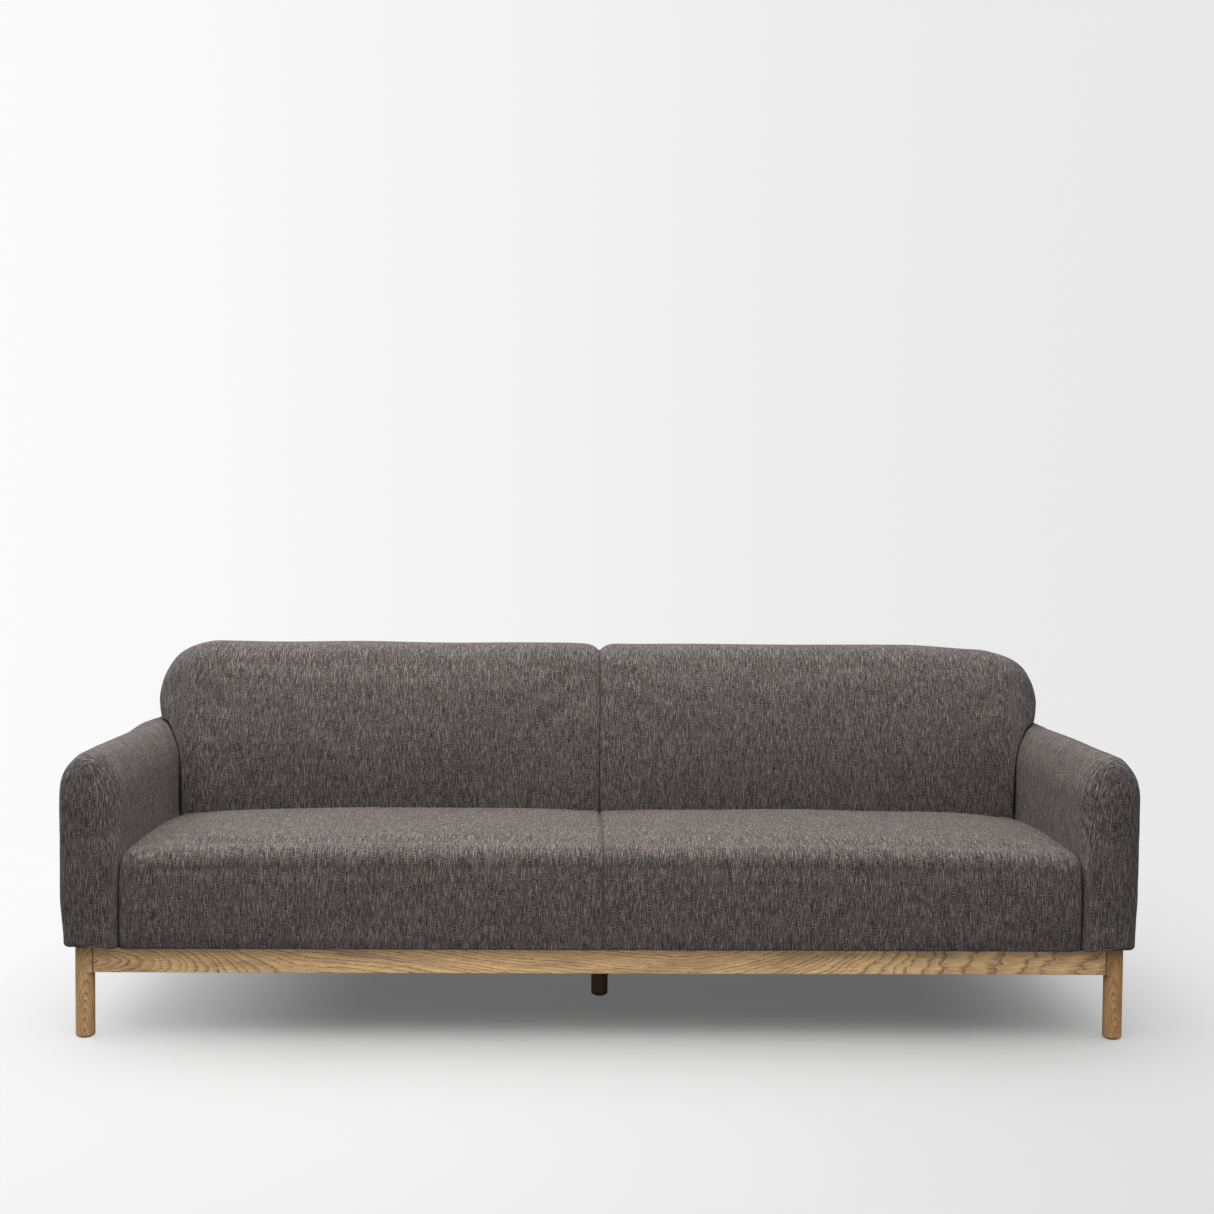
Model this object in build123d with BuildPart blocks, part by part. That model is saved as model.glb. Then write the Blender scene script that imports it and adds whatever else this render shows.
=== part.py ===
from build123d import *
from math import atan2, cos, pi, radians, sin, sqrt, tan
import os

os.makedirs("parts", exist_ok=True)

# A three-seat sofa: tight seat, two-part back and slab arms, on an ash base with turned legs.
# The front faces -Y, X runs along the seat and Z = 0 is the floor. Sizes are in millimetres.

# Overall form
OVERALL_WIDTH = 2260.0
OVERALL_HEIGHT = 790.0
SEAT_HEIGHT = 415.0
SEAT_DEPTH = 558.0
ARM_HEIGHT = 605.0
ARM_THICKNESS = 122.0
BACK_DEPTH = 262.0
BACK_RECLINE = 11.0
BACK_FOOT_DROP = 30.0
BACK_END_INSET = 45.0

# Wooden base
BASE_HEIGHT = 192.0
BASE_SIDE_INSET = 24.0
BASE_FRONT_INSET = 28.0
RAIL_HEIGHT = 52.0
RAIL_THICKNESS = 24.0
RAIL_EDGE_ROUND = 1.5
LEG_DIAMETER = 40.0
LEG_FOOT_ROUND = 3.0
SHOULDER_RISE = 3.0
TENON_THICKNESS = 10.0
TENON_WALL = 7.0
TENON_SHOULDER = 8.0
CENTRE_LEG_DIAMETER = 38.0
CENTRE_LEG_SETBACK = 380.0
BEAM_WIDTH = 45.0
BEAM_HEIGHT = 45.0
BEAM_TENON_LENGTH = 12.0
BEAM_TENON_WIDTH = 22.0
BEAM_TENON_SHOULDER = 10.0
CORNER_BLOCK_SIDE = 60.0
CORNER_BLOCK_HEIGHT = 40.0
GLIDE_HEIGHT = 2.5
GLIDE_RIM = 6.0

# Fasteners
HANGER_DIAMETER = 6.0
HANGER_TIP_WALL = 4.5
HANGER_TAIL = 3.0
WASHER_DIAMETER = 18.0
WASHER_THICKNESS = 1.6
NUT_ACROSS_FLATS = 10.0
NUT_HEIGHT = 5.0
HEX_SIDES = 6
ROD_SIDES = 12
STUD_DIAMETER = 8.0
STUD_GRIP = 32.0
BOLT_DIAMETER = 8.0
BOLT_HEAD_ACROSS_FLATS = 13.0
BOLT_HEAD_HEIGHT = 5.5
BODY_BOLT_RECESS = 8.0
BODY_BOLT_GRIP = 35.0
BODY_BOLT_SPACING = 360.0
ARM_BOLT_GRIP = 35.0
ARM_BOLT_SPACING = 260.0

# Seat
DUST_CLOTH_THICKNESS = 0.8
DUST_CLOTH_INSET = 32.0
BOARD_THICKNESS = 22.0
SEAT_BOARD_HEIGHT = 95.0
BOARD_HOUSING_DEPTH = 8.0
MID_BOARD_DROP = 25.0
WEBBING_THICKNESS = 2.0
WEBBING_WIDTH = 70.0
WEBBING_PITCH = 165.0
CROSS_WEBBING_PITCH = 140.0
PAD_THICKNESS = 4.0
SEAT_WADDING = 16.0
SEAT_CROWN_WADDING = 22.0
SEAT_FRONT_FOAM = 24.0
SEAT_FRONT_ROLL = 62.0
SEAT_FRONT_INSET = 2.0
SEAT_FRONT_BULGE = 5.0
SEAT_HEM_ROLL = 12.0
SEAT_FRONT_FALL = 9.0
SEAT_REAR_FALL = 15.0
SEAT_SIDE_FALL = 12.0
SEAT_FALL_POWER = 4
SEAT_CROWN_STEPS = 6
SEAT_SIDE_ROLL = 22.0
SEAT_SEAM_DEPTH = 4.0
SEAT_SEAM_ROLL = 16.0
ROLL_STEPS = 5

# Arms
ARM_CROWN_HEIGHT = 95.0
ARM_CROWN_RADIUS = 45.0
ARM_NOSE_ROLL = 40.0
ARM_TAIL_ROLL = 20.0
ARM_TAIL_INSET = 12.0
ARM_HEM_ROLL = 10.0
ARM_END_TURN = radians(75.0)
ARM_WADDING = 13.0
ARM_FOAM_TOP = 46.0
ARM_FOAM_ENDS = 22.0
ARM_FRAME_THICKNESS = 56.0
ARM_FRAME_OUTER_INSET = 24.0
ARM_POST_WIDTH = 45.0
ARM_TOP_RAIL_HEIGHT = 30.0
ARM_BOTTOM_RAIL_HEIGHT = 50.0
ARM_TENON_LENGTH = 20.0
ARM_TENON_THICKNESS = 20.0
ARM_TENON_SHOULDER = 6.0

# Back
BACK_CORNER_RADIUS = 135.0
BACK_WING_EDGE = 25.0
BACK_END_ROLL = 70.0
BACK_FRONT_ROLL = 80.0
BACK_REAR_ROLL = 55.0
BACK_CROWN = 8.0
BACK_SEAM_GAP = 1.5
BACK_SEAM_DROP = 18.0
BACK_SEAM_INSET = 10.0
BACK_SEAM_ROLL = 45.0
BACK_WADDING = 16.0
BACK_FOOT_WADDING = 8.0
BACK_TOP_WADDING = 42.0
BACK_END_WADDING = 36.0
BACK_SEAM_WADDING = 14.0
BACK_WING_WADDING = 22.0
BACK_FOAM_THICKNESS = 110.0
BACK_FOAM_CORNER = 70.0
BACK_TOP_RAIL_SETBACK = 10.0
BACK_TOP_RAIL_THICKNESS = 22.0
BACK_TOP_RAIL_DROP = 70.0
BACK_BOTTOM_RAIL_HEIGHT = 90.0
BACK_POST_TENON = 12.0
BACK_POST_TENON_DEPTH = 20.0
BACK_WEBBING_PITCH = 85.0
BACK_PANEL_THICKNESS = 12.0
BACK_PANEL_EDGE_ROUND = 4.0

# Fits: glued wood, bolts in their holes, foam in its cover, and the gap between upholstered pieces
GLUE_FIT = 0.2
BOLT_FIT = 0.4
FOAM_FIT = 0.5
SOFT_GAP = 2.0
THROUGH_CUT = 20.0

# The most of a cushion's thickness that a roll along its edge may take
FRONT_ROLL_SHARE = 1 / 2
REAR_ROLL_SHARE = 1 / 3
END_ROLL_SHARE = 2 / 5

# How far the middle of a quarter arc stands in from its corner, as a share of its radius
ARC_INSET = 1 - sqrt(0.5)

# Levels and places that several pieces share
half_width = OVERALL_WIDTH / 2
overall_depth = SEAT_DEPTH + BACK_DEPTH
front_y = -overall_depth / 2
rear_y = overall_depth / 2
leg_radius = LEG_DIAMETER / 2
leg_x = half_width - BASE_SIDE_INSET - leg_radius
leg_y = rear_y - BASE_FRONT_INSET - leg_radius
rail_z = BASE_HEIGHT - RAIL_HEIGHT
rail_mid_z = BASE_HEIGHT - RAIL_HEIGHT / 2
rail_mid_x = leg_x + leg_radius - RAIL_THICKNESS / 2
rail_mid_y = leg_y + leg_radius - RAIL_THICKNESS / 2
tenon_stop = (RAIL_THICKNESS + TENON_THICKNESS) / 2 + TENON_WALL - leg_radius
hanger_clear = (RAIL_THICKNESS + TENON_THICKNESS + HANGER_DIAMETER) / 2 + HANGER_TIP_WALL
hanger_grip = (LEG_DIAMETER - hanger_clear) * sqrt(2)
beam_z = BASE_HEIGHT - BEAM_HEIGHT
centre_leg_y = front_y + CENTRE_LEG_SETBACK

body_z = BASE_HEIGHT + DUST_CLOTH_THICKNESS
board_top = body_z + SEAT_BOARD_HEIGHT
cross_z = board_top + WEBBING_THICKNESS
pad_z = cross_z + WEBBING_THICKNESS
pad_top = pad_z + PAD_THICKNESS

arm_inner_x = half_width - ARM_THICKNESS
arm_mid_x = half_width - ARM_THICKNESS / 2
arm_rear_y = rear_y - ARM_TAIL_INSET
arm_spring_z = ARM_HEIGHT - ARM_CROWN_HEIGHT
arm_core_y = (front_y + ARM_NOSE_ROLL, arm_rear_y - ARM_TAIL_ROLL)
arm_frame_y = (arm_core_y[0] + ARM_FOAM_ENDS, arm_core_y[1] - ARM_FOAM_ENDS)
arm_frame_outer_x = half_width - ARM_FRAME_OUTER_INSET
arm_frame_inner_x = arm_frame_outer_x - ARM_FRAME_THICKNESS
arm_frame_top = ARM_HEIGHT - ARM_WADDING - ARM_FOAM_TOP
arm_bolt_z = body_z + ARM_BOTTOM_RAIL_HEIGHT / 2

seat_half = arm_inner_x - SOFT_GAP
frame_half = seat_half - SEAT_WADDING
back_y = front_y + SEAT_DEPTH
seat_rear_y = back_y - SOFT_GAP
seat_front_y = front_y + SEAT_FRONT_INSET
front_board_y = seat_front_y + SEAT_WADDING + SEAT_FRONT_FOAM

lean = radians(BACK_RECLINE)
back_half = half_width - BACK_END_INSET
back_foot_z = SEAT_HEIGHT - BACK_FOOT_DROP
back_corner = min(BACK_CORNER_RADIUS, OVERALL_HEIGHT - ARM_HEIGHT - BACK_WING_EDGE)
back_end_depth = BACK_DEPTH - (OVERALL_HEIGHT - back_corner - back_foot_z) * tan(lean)
back_end_roll = min(BACK_END_ROLL, back_end_depth * END_ROLL_SHARE)
back_foam_depth = BACK_WADDING + BACK_FOAM_THICKNESS
back_frame_depth = back_foam_depth + FOAM_FIT + WEBBING_THICKNESS
rear_frame_y = rear_y - BACK_PANEL_THICKNESS
top_rail_z = OVERALL_HEIGHT - BACK_TOP_RAIL_DROP
back_cavity_top = top_rail_z + BACK_TOP_RAIL_THICKNESS + FOAM_FIT

# The slanted face of the back: its local Y climbs the slope and its normal points at the sitter
BACK_PLANE = Plane(origin=(0, back_y, back_foot_z), x_dir=(1, 0, 0), z_dir=(0, -cos(lean), sin(lean)))

SIDES = (("left", -1), ("right", 1))
ENDS = (("front", -1), ("rear", 1))
CORNERS = [(sx, sy) for _, sx in SIDES for _, sy in ENDS]


def save(piece, name):
    piece.part.label = name
    export_step(piece.part, f"parts/{name}.step")


def block(x, y, z, mode=Mode.ADD):
    """Square-edged block between two faces along each axis, given in either order."""
    with BuildSketch(Plane.XY.offset(min(z))) as footprint:
        with Locations(((x[0] + x[1]) / 2, (y[0] + y[1]) / 2)):
            Rectangle(abs(x[1] - x[0]), abs(y[1] - y[0]))
    extrude(footprint.sketch, amount=abs(z[1] - z[0]), mode=mode)


def rod_ends(plane, places, radius):
    """Ends of small rods and of the holes they sit in, drawn with flat sides."""
    with BuildSketch(plane) as outline:
        with Locations(*places):
            RegularPolygon(radius, ROD_SIDES)
    return outline.sketch


def hexagons(plane, places, across_flats):
    with BuildSketch(plane) as outline:
        with Locations(*places):
            RegularPolygon(across_flats / 2, HEX_SIDES, major_radius=False)
    return outline.sketch


def upright_rods(places, radius, low, high, mode=Mode.ADD):
    extrude(rod_ends(Plane.XY.offset(low), places, radius), amount=high - low, mode=mode)


def sideways_rods(side, places, radius, inner, outer, mode=Mode.ADD):
    """Rods along X on one side of the sofa, between two distances from its middle."""
    extrude(rod_ends(Plane.YZ.offset(side * inner), places, radius), amount=side * (outer - inner), mode=mode)


def bolt_slits(side, inner, outer):
    """Square cut-outs in a soft piece, where the bolts into an arm pass through it."""
    for y, z in arm_bolt_places:
        block((side * inner, side * outer), around(y, bolt_hole), around(z, bolt_hole), Mode.SUBTRACT)


def rolled_edge(reach, radius):
    """How far a rounded edge has fallen away, at a distance from where it ends."""
    return radius - sqrt(radius**2 - max(0.0, radius - reach) ** 2)


def around(middle, half):
    return (middle - half, middle + half)


def tenon_levels(fit=0.0):
    return (rail_z + TENON_SHOULDER - fit, BASE_HEIGHT - TENON_SHOULDER + fit)


def beam_tenon_levels(fit=0.0):
    return (beam_z + BEAM_TENON_SHOULDER - fit, BASE_HEIGHT - BEAM_TENON_SHOULDER + fit)


def hanger_plane(sx, sy):
    """On the inner edge of a corner leg, facing along the bolt that runs across the corner."""
    inner_edge = (sx * (leg_x - leg_radius), sy * (leg_y - leg_radius), rail_mid_z)
    return Plane(origin=inner_edge, x_dir=(0, 0, 1), z_dir=(-sx, -sy, 0))


def hanger_rod(sx, sy, radius, start, stop, mode=Mode.ADD):
    extrude(rod_ends(hanger_plane(sx, sy).offset(start), [(0, 0)], radius), amount=stop - start, mode=mode)


corner_block_depth = (RAIL_THICKNESS + CORNER_BLOCK_SIDE + 2 * GLUE_FIT - LEG_DIAMETER) / sqrt(2)
body_bolt_places = [(sx * rail_mid_x, sy * BODY_BOLT_SPACING / 2) for sx, sy in CORNERS]
arm_bolt_places = [(y, arm_bolt_z) for y in around((front_y + back_y) / 2, ARM_BOLT_SPACING / 2)]
centre_place = [(0, centre_leg_y)]
stud_hole = STUD_DIAMETER / 2 + GLUE_FIT
bolt_hole = BOLT_DIAMETER / 2 + BOLT_FIT
bolt_recess = BOLT_HEAD_ACROSS_FLATS / sqrt(3) + BOLT_FIT


def foot_points(radius):
    """Half the outline of a turned foot, from its axis out to the side, with its edge broken twice."""
    bend = LEG_FOOT_ROUND * ARC_INSET
    return [
        (0, GLIDE_HEIGHT),
        (radius - LEG_FOOT_ROUND, GLIDE_HEIGHT),
        (radius - bend, GLIDE_HEIGHT + bend),
        (radius, GLIDE_HEIGHT + LEG_FOOT_ROUND),
    ]


def turned(x, y, points, mode=Mode.ADD):
    """Solid turned about an upright axis, from half its outline."""
    with BuildSketch(Plane(origin=(x, y, 0), x_dir=(1, 0, 0), z_dir=(0, -1, 0))) as profile:
        with BuildLine():
            Polyline(*points, close=True)
        make_face()
    revolve(profile.sketch, axis=Axis((x, y, 0), (0, 0, 1)), mode=mode)


def corner_leg_points():
    """What the lathe leaves of a corner leg: its foot and rod, and a shoulder that climbs to the rails."""
    corner_reach = leg_radius * sqrt(2) + THROUGH_CUT
    slope = SHOULDER_RISE / (leg_radius * (sqrt(2) - 1))
    return foot_points(leg_radius) + [
        (leg_radius, rail_z - SHOULDER_RISE),
        (corner_reach, rail_z - SHOULDER_RISE + (corner_reach - leg_radius) * slope),
        (corner_reach, BASE_HEIGHT),
        (0, BASE_HEIGHT),
    ]


# Corner legs: a square blank with its outer corner rounded, mortised for two rails and turned below them
for end, sy in ENDS:
    for side, sx in SIDES:
        x, y = sx * leg_x, sy * leg_y
        mortise_half = TENON_THICKNESS / 2 + GLUE_FIT
        mortise_end = tenon_stop - GLUE_FIT
        mortise_mouth = leg_radius + THROUGH_CUT
        with BuildPart() as leg:
            with BuildSketch(Plane.XY.offset(GLIDE_HEIGHT)) as blank:
                with Locations((x, y)):
                    Rectangle(LEG_DIAMETER, LEG_DIAMETER)
                fillet(blank.vertices().sort_by_distance((0, 0, 0))[-1], leg_radius)
            extrude(amount=BASE_HEIGHT - GLIDE_HEIGHT)
            turned(x, y, corner_leg_points(), Mode.INTERSECT)
            block((x - sx * mortise_end, x - sx * mortise_mouth), around(sy * rail_mid_y, mortise_half),
                  tenon_levels(GLUE_FIT), Mode.SUBTRACT)
            block(around(sx * rail_mid_x, mortise_half), (y - sy * mortise_end, y - sy * mortise_mouth),
                  tenon_levels(GLUE_FIT), Mode.SUBTRACT)
            hanger_rod(sx, sy, HANGER_DIAMETER / 2 + GLUE_FIT, -hanger_grip - GLUE_FIT, THROUGH_CUT,
                       Mode.SUBTRACT)
        save(leg, f"{end}_{side}_leg")

# Front and rear rails, tenoned into the legs, with a mortise for the beam inside
for end, sy in ENDS:
    inner_face = sy * (rail_mid_y - RAIL_THICKNESS / 2)
    shoulder_x = leg_x - leg_radius
    with BuildPart() as long_rail:
        block(around(0, shoulder_x), around(sy * rail_mid_y, RAIL_THICKNESS / 2), (rail_z, BASE_HEIGHT))
        fillet(long_rail.edges().filter_by(Axis.X).group_by(Axis.Z)[0], RAIL_EDGE_ROUND)
        block(around(0, leg_x - tenon_stop), around(sy * rail_mid_y, TENON_THICKNESS / 2), tenon_levels())
        block(around(0, BEAM_TENON_WIDTH / 2 + GLUE_FIT),
              (inner_face + sy * (BEAM_TENON_LENGTH + GLUE_FIT), inner_face - sy * THROUGH_CUT),
              beam_tenon_levels(GLUE_FIT), Mode.SUBTRACT)
    save(long_rail, f"{end}_rail")

# Side rails, tenoned into the legs and bored from below for the bolts that hold the body
for side, sx in SIDES:
    shoulder_y = leg_y - leg_radius
    side_bolts = [place for place in body_bolt_places if place[0] * sx > 0]
    with BuildPart() as side_rail:
        block(around(sx * rail_mid_x, RAIL_THICKNESS / 2), around(0, shoulder_y), (rail_z, BASE_HEIGHT))
        fillet(side_rail.edges().filter_by(Axis.Y).group_by(Axis.Z)[0], RAIL_EDGE_ROUND)
        block(around(sx * rail_mid_x, TENON_THICKNESS / 2), around(0, leg_y - tenon_stop), tenon_levels())
        upright_rods(side_bolts, bolt_hole, rail_z, BASE_HEIGHT, Mode.SUBTRACT)
        upright_rods(side_bolts, bolt_recess, rail_z, rail_z + BODY_BOLT_RECESS, Mode.SUBTRACT)
    save(side_rail, f"{side}_side_rail")

# Beam across the middle of the base, which carries the centre leg
with BuildPart() as centre_beam:
    shoulder_y = rail_mid_y - RAIL_THICKNESS / 2
    block(around(0, BEAM_WIDTH / 2), around(0, shoulder_y), (beam_z, BASE_HEIGHT))
    block(around(0, BEAM_TENON_WIDTH / 2), around(0, shoulder_y + BEAM_TENON_LENGTH), beam_tenon_levels())
    upright_rods(centre_place, stud_hole, beam_z, beam_z + STUD_GRIP + GLUE_FIT, Mode.SUBTRACT)
save(centre_beam, "centre_beam")

with BuildPart() as centre_leg:
    centre_leg_radius = CENTRE_LEG_DIAMETER / 2
    turned(0, centre_leg_y, foot_points(centre_leg_radius) + [(centre_leg_radius, beam_z), (0, beam_z)])
    upright_rods(centre_place, stud_hole, beam_z - STUD_GRIP - GLUE_FIT, beam_z, Mode.SUBTRACT)
save(centre_leg, "centre_leg")

with BuildPart() as centre_leg_stud:
    upright_rods(centre_place, STUD_DIAMETER / 2, beam_z - STUD_GRIP, beam_z + STUD_GRIP)
save(centre_leg_stud, "centre_leg_stud")

# Corner blocks: glued between two rails round the leg's inner edge
with BuildPart() as corner_blocks:
    leg_face = leg_radius + GLUE_FIT
    rail_face = RAIL_THICKNESS - leg_radius + GLUE_FIT
    far_end = leg_face + CORNER_BLOCK_SIDE
    for sx, sy in CORNERS:
        with BuildSketch(Plane.XY.offset(rail_mid_z - CORNER_BLOCK_HEIGHT / 2)):
            with BuildLine():
                inward = ((leg_face, leg_face), (leg_face, rail_face), (far_end, rail_face),
                          (rail_face, far_end), (rail_face, leg_face))
                Polyline(*[(sx * (leg_x - p), sy * (leg_y - q)) for p, q in inward], close=True)
            make_face()
        extrude(amount=CORNER_BLOCK_HEIGHT)
        hanger_rod(sx, sy, HANGER_DIAMETER / 2 + BOLT_FIT, -hanger_grip, corner_block_depth, Mode.SUBTRACT)
save(corner_blocks, "corner_blocks")

with BuildPart() as hanger_bolts:
    for sx, sy in CORNERS:
        bolt_end = corner_block_depth + WASHER_THICKNESS + NUT_HEIGHT + HANGER_TAIL
        hanger_rod(sx, sy, HANGER_DIAMETER / 2, -hanger_grip, bolt_end)
save(hanger_bolts, "hanger_bolts")

with BuildPart() as hanger_washers:
    for sx, sy in CORNERS:
        washer_face = corner_block_depth + WASHER_THICKNESS
        hanger_rod(sx, sy, WASHER_DIAMETER / 2, corner_block_depth, washer_face)
        hanger_rod(sx, sy, HANGER_DIAMETER / 2 + BOLT_FIT, corner_block_depth, washer_face, Mode.SUBTRACT)
save(hanger_washers, "hanger_washers")

with BuildPart() as hanger_nuts:
    for sx, sy in CORNERS:
        washer_face = corner_block_depth + WASHER_THICKNESS
        extrude(hexagons(hanger_plane(sx, sy).offset(washer_face), [(0, 0)], NUT_ACROSS_FLATS),
                amount=NUT_HEIGHT)
        hanger_rod(sx, sy, HANGER_DIAMETER / 2 + GLUE_FIT, washer_face, washer_face + NUT_HEIGHT,
                   Mode.SUBTRACT)
save(hanger_nuts, "hanger_nuts")

# Glides glued under the five legs
with BuildPart() as leg_glides:
    corner_legs = [(sx * leg_x, sy * leg_y) for sx, sy in CORNERS]
    upright_rods(corner_legs, leg_radius - GLIDE_RIM, 0, GLIDE_HEIGHT)
    upright_rods(centre_place, CENTRE_LEG_DIAMETER / 2 - GLIDE_RIM, 0, GLIDE_HEIGHT)
save(leg_glides, "leg_glides")

with BuildPart() as body_bolts:
    head_top = rail_z + BODY_BOLT_RECESS
    head_plane = Plane.XY.offset(head_top - BOLT_HEAD_HEIGHT)
    extrude(hexagons(head_plane, body_bolt_places, BOLT_HEAD_ACROSS_FLATS), amount=BOLT_HEAD_HEIGHT)
    upright_rods(body_bolt_places, BOLT_DIAMETER / 2, head_top, body_z + BODY_BOLT_GRIP)
save(body_bolts, "body_bolts")

# Dust cloth, held between the base and the upholstered body
with BuildPart() as dust_cloth:
    with BuildSketch(Plane.XY.offset(BASE_HEIGHT)):
        Rectangle(OVERALL_WIDTH - 2 * DUST_CLOTH_INSET, overall_depth - 2 * DUST_CLOTH_INSET)
    extrude(amount=DUST_CLOTH_THICKNESS)
    for x, y in body_bolt_places:
        block(around(x, bolt_hole), around(y, bolt_hole), (BASE_HEIGHT, body_z), Mode.SUBTRACT)
save(dust_cloth, "dust_cloth")


def slope_y(z, depth):
    """Where a plane at a depth behind the face of the back crosses a level."""
    return back_y + depth / cos(lean) + (z - back_foot_z) * tan(lean)


rear_board_y = slope_y(board_top, back_frame_depth)
board_places = (BOARD_THICKNESS / 2 - frame_half, 0, frame_half - BOARD_THICKNESS / 2)
housing_half = BOARD_THICKNESS / 2 + GLUE_FIT
housed_y = (front_board_y + BOARD_THICKNESS - BOARD_HOUSING_DEPTH,
            rear_board_y - BOARD_THICKNESS + BOARD_HOUSING_DEPTH)


# Seat box: front and rear boards grooved for the side boards and the middle board
def seat_end_board(y, groove_y):
    block(around(0, frame_half), y, (body_z, board_top))
    for x in board_places:
        block(around(x, housing_half), groove_y, (body_z, board_top), Mode.SUBTRACT)


with BuildPart() as seat_front_board:
    inner_face = front_board_y + BOARD_THICKNESS
    seat_end_board((front_board_y, inner_face), (housed_y[0] - GLUE_FIT, inner_face))
save(seat_front_board, "seat_front_board")

with BuildPart() as seat_rear_board:
    inner_face = rear_board_y - BOARD_THICKNESS
    seat_end_board((rear_board_y, inner_face), (housed_y[1] + GLUE_FIT, inner_face))
save(seat_rear_board, "seat_rear_board")

for side, sx in SIDES:
    with BuildPart() as seat_side_board:
        block((sx * (frame_half - BOARD_THICKNESS), sx * frame_half), housed_y, (body_z, cross_z))
        sideways_rods(sx, arm_bolt_places, bolt_hole, frame_half - BOARD_THICKNESS, frame_half,
                      Mode.SUBTRACT)
    save(seat_side_board, f"seat_{side}_board")

with BuildPart() as seat_mid_board:
    block(around(0, BOARD_THICKNESS / 2), housed_y, (body_z, board_top - MID_BOARD_DROP))
save(seat_mid_board, "seat_mid_board")

# Elastic webbing: straps from front to back, and straps across them on the side boards
with BuildPart() as seat_webbing:
    strap_reach = frame_half - BOARD_THICKNESS - WEBBING_WIDTH / 2
    straps_a_side = int(strap_reach // WEBBING_PITCH)
    for step in range(-straps_a_side, straps_a_side + 1):
        strap_x = around(step * WEBBING_PITCH, WEBBING_WIDTH / 2)
        block(strap_x, (front_board_y, rear_board_y), (board_top, cross_z))
save(seat_webbing, "seat_webbing")

with BuildPart() as seat_cross_webbing:
    strap_middle = (front_board_y + rear_board_y) / 2
    strap_reach = (rear_board_y - front_board_y) / 2 - BOARD_THICKNESS - WEBBING_WIDTH / 2
    straps_a_side = int(strap_reach // CROSS_WEBBING_PITCH)
    for step in range(-straps_a_side, straps_a_side + 1):
        strap_y = around(strap_middle + step * CROSS_WEBBING_PITCH, WEBBING_WIDTH / 2)
        block(around(0, frame_half), strap_y, (cross_z, pad_z))
save(seat_cross_webbing, "seat_cross_webbing")

with BuildPart() as seat_pad:
    block(around(0, frame_half), (front_board_y, rear_board_y), (pad_z, pad_top))
save(seat_pad, "seat_pad")


def seat_outline(x, front, top, rear, foot, roll):
    """Cross-section of the seat at a place along it: rolled front, crowned top that falls to the back."""
    front_top = top - SEAT_FRONT_FALL
    bend = roll * ARC_INSET
    face = front + SEAT_FRONT_BULGE
    hem_top = body_z + SEAT_HEM_ROLL
    crown_y = (face + roll + rear) / 2
    face_middle = (hem_top + front_top - roll) / 2
    with BuildSketch(Plane.YZ.offset(x)) as outline:
        with BuildLine():
            Line((face + SEAT_FRONT_BULGE, foot), (face, hem_top))
            ThreePointArc((face, hem_top), (front, face_middle), (face, front_top - roll))
            ThreePointArc((face, front_top - roll), (face + bend, front_top - bend), (face + roll, front_top))
            ThreePointArc((face + roll, front_top), (crown_y, top), (rear, top - SEAT_REAR_FALL))
            Line((rear, top - SEAT_REAR_FALL), (rear, foot))
            Line((rear, foot), (face + SEAT_FRONT_BULGE, foot))
        make_face()
    return outline.sketch


def seat_core(fit, foot, mode=Mode.ADD):
    """Foam under the crowned cover or, grown by a fit, the pocket that it fills."""
    core_half = frame_half + fit
    core_top = SEAT_HEIGHT - SEAT_SIDE_FALL - SEAT_CROWN_WADDING
    outline = seat_outline(-core_half, seat_front_y + SEAT_WADDING - fit, core_top + fit,
                           seat_rear_y - SEAT_WADDING + fit, foot, SEAT_FRONT_ROLL - SEAT_WADDING)
    extrude(outline, amount=2 * core_half, mode=mode)


def seat_section(x):
    """Outer form of the seat at a place along it: rolled down at the arms, drawn in at the middle seam."""
    roll = rolled_edge(seat_half - x, SEAT_SIDE_ROLL)
    seam = SEAT_SEAM_DEPTH * rolled_edge(x, SEAT_SEAM_ROLL) / SEAT_SEAM_ROLL
    fall = SEAT_SIDE_FALL * (x / seat_half) ** SEAT_FALL_POWER
    top = SEAT_HEIGHT - fall - roll - seam
    return seat_outline(x, seat_front_y + roll, top, seat_rear_y, body_z, SEAT_FRONT_ROLL)


def roll_places(roll):
    """Distances from the end of a cushion, close together where the roll there is steepest."""
    return [roll * (1 - cos(pi / 2 * step / ROLL_STEPS)) for step in range(ROLL_STEPS + 1)]


def crown_places():
    """Even places along half the seat, between the roll at its middle seam and the roll at the arm."""
    length = seat_half - SEAT_SEAM_ROLL - SEAT_SIDE_ROLL
    return [SEAT_SEAM_ROLL + length * step / SEAT_CROWN_STEPS for step in range(SEAT_CROWN_STEPS + 1)]


with BuildPart() as seat_foam:
    seat_core(0, body_z)
    block(around(0, frame_half + THROUGH_CUT), (front_board_y, rear_y), (body_z - THROUGH_CUT, pad_top),
          Mode.SUBTRACT)
save(seat_foam, "seat_foam")

with BuildPart() as seat_cover:
    loft([seat_section(place) for place in roll_places(SEAT_SEAM_ROLL)], ruled=True)
    loft([seat_section(place) for place in crown_places()], ruled=True)
    loft([seat_section(seat_half - place) for place in roll_places(SEAT_SIDE_ROLL)], ruled=True)
    mirror(about=Plane.YZ)
    seat_core(FOAM_FIT, body_z - THROUGH_CUT, Mode.SUBTRACT)
    block(around(0, frame_half + FOAM_FIT), (front_board_y, rear_y),
          (body_z - THROUGH_CUT, pad_top + FOAM_FIT), Mode.SUBTRACT)
    for _, sx in SIDES:
        bolt_slits(sx, frame_half, arm_inner_x)
save(seat_cover, "seat_cover")


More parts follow.
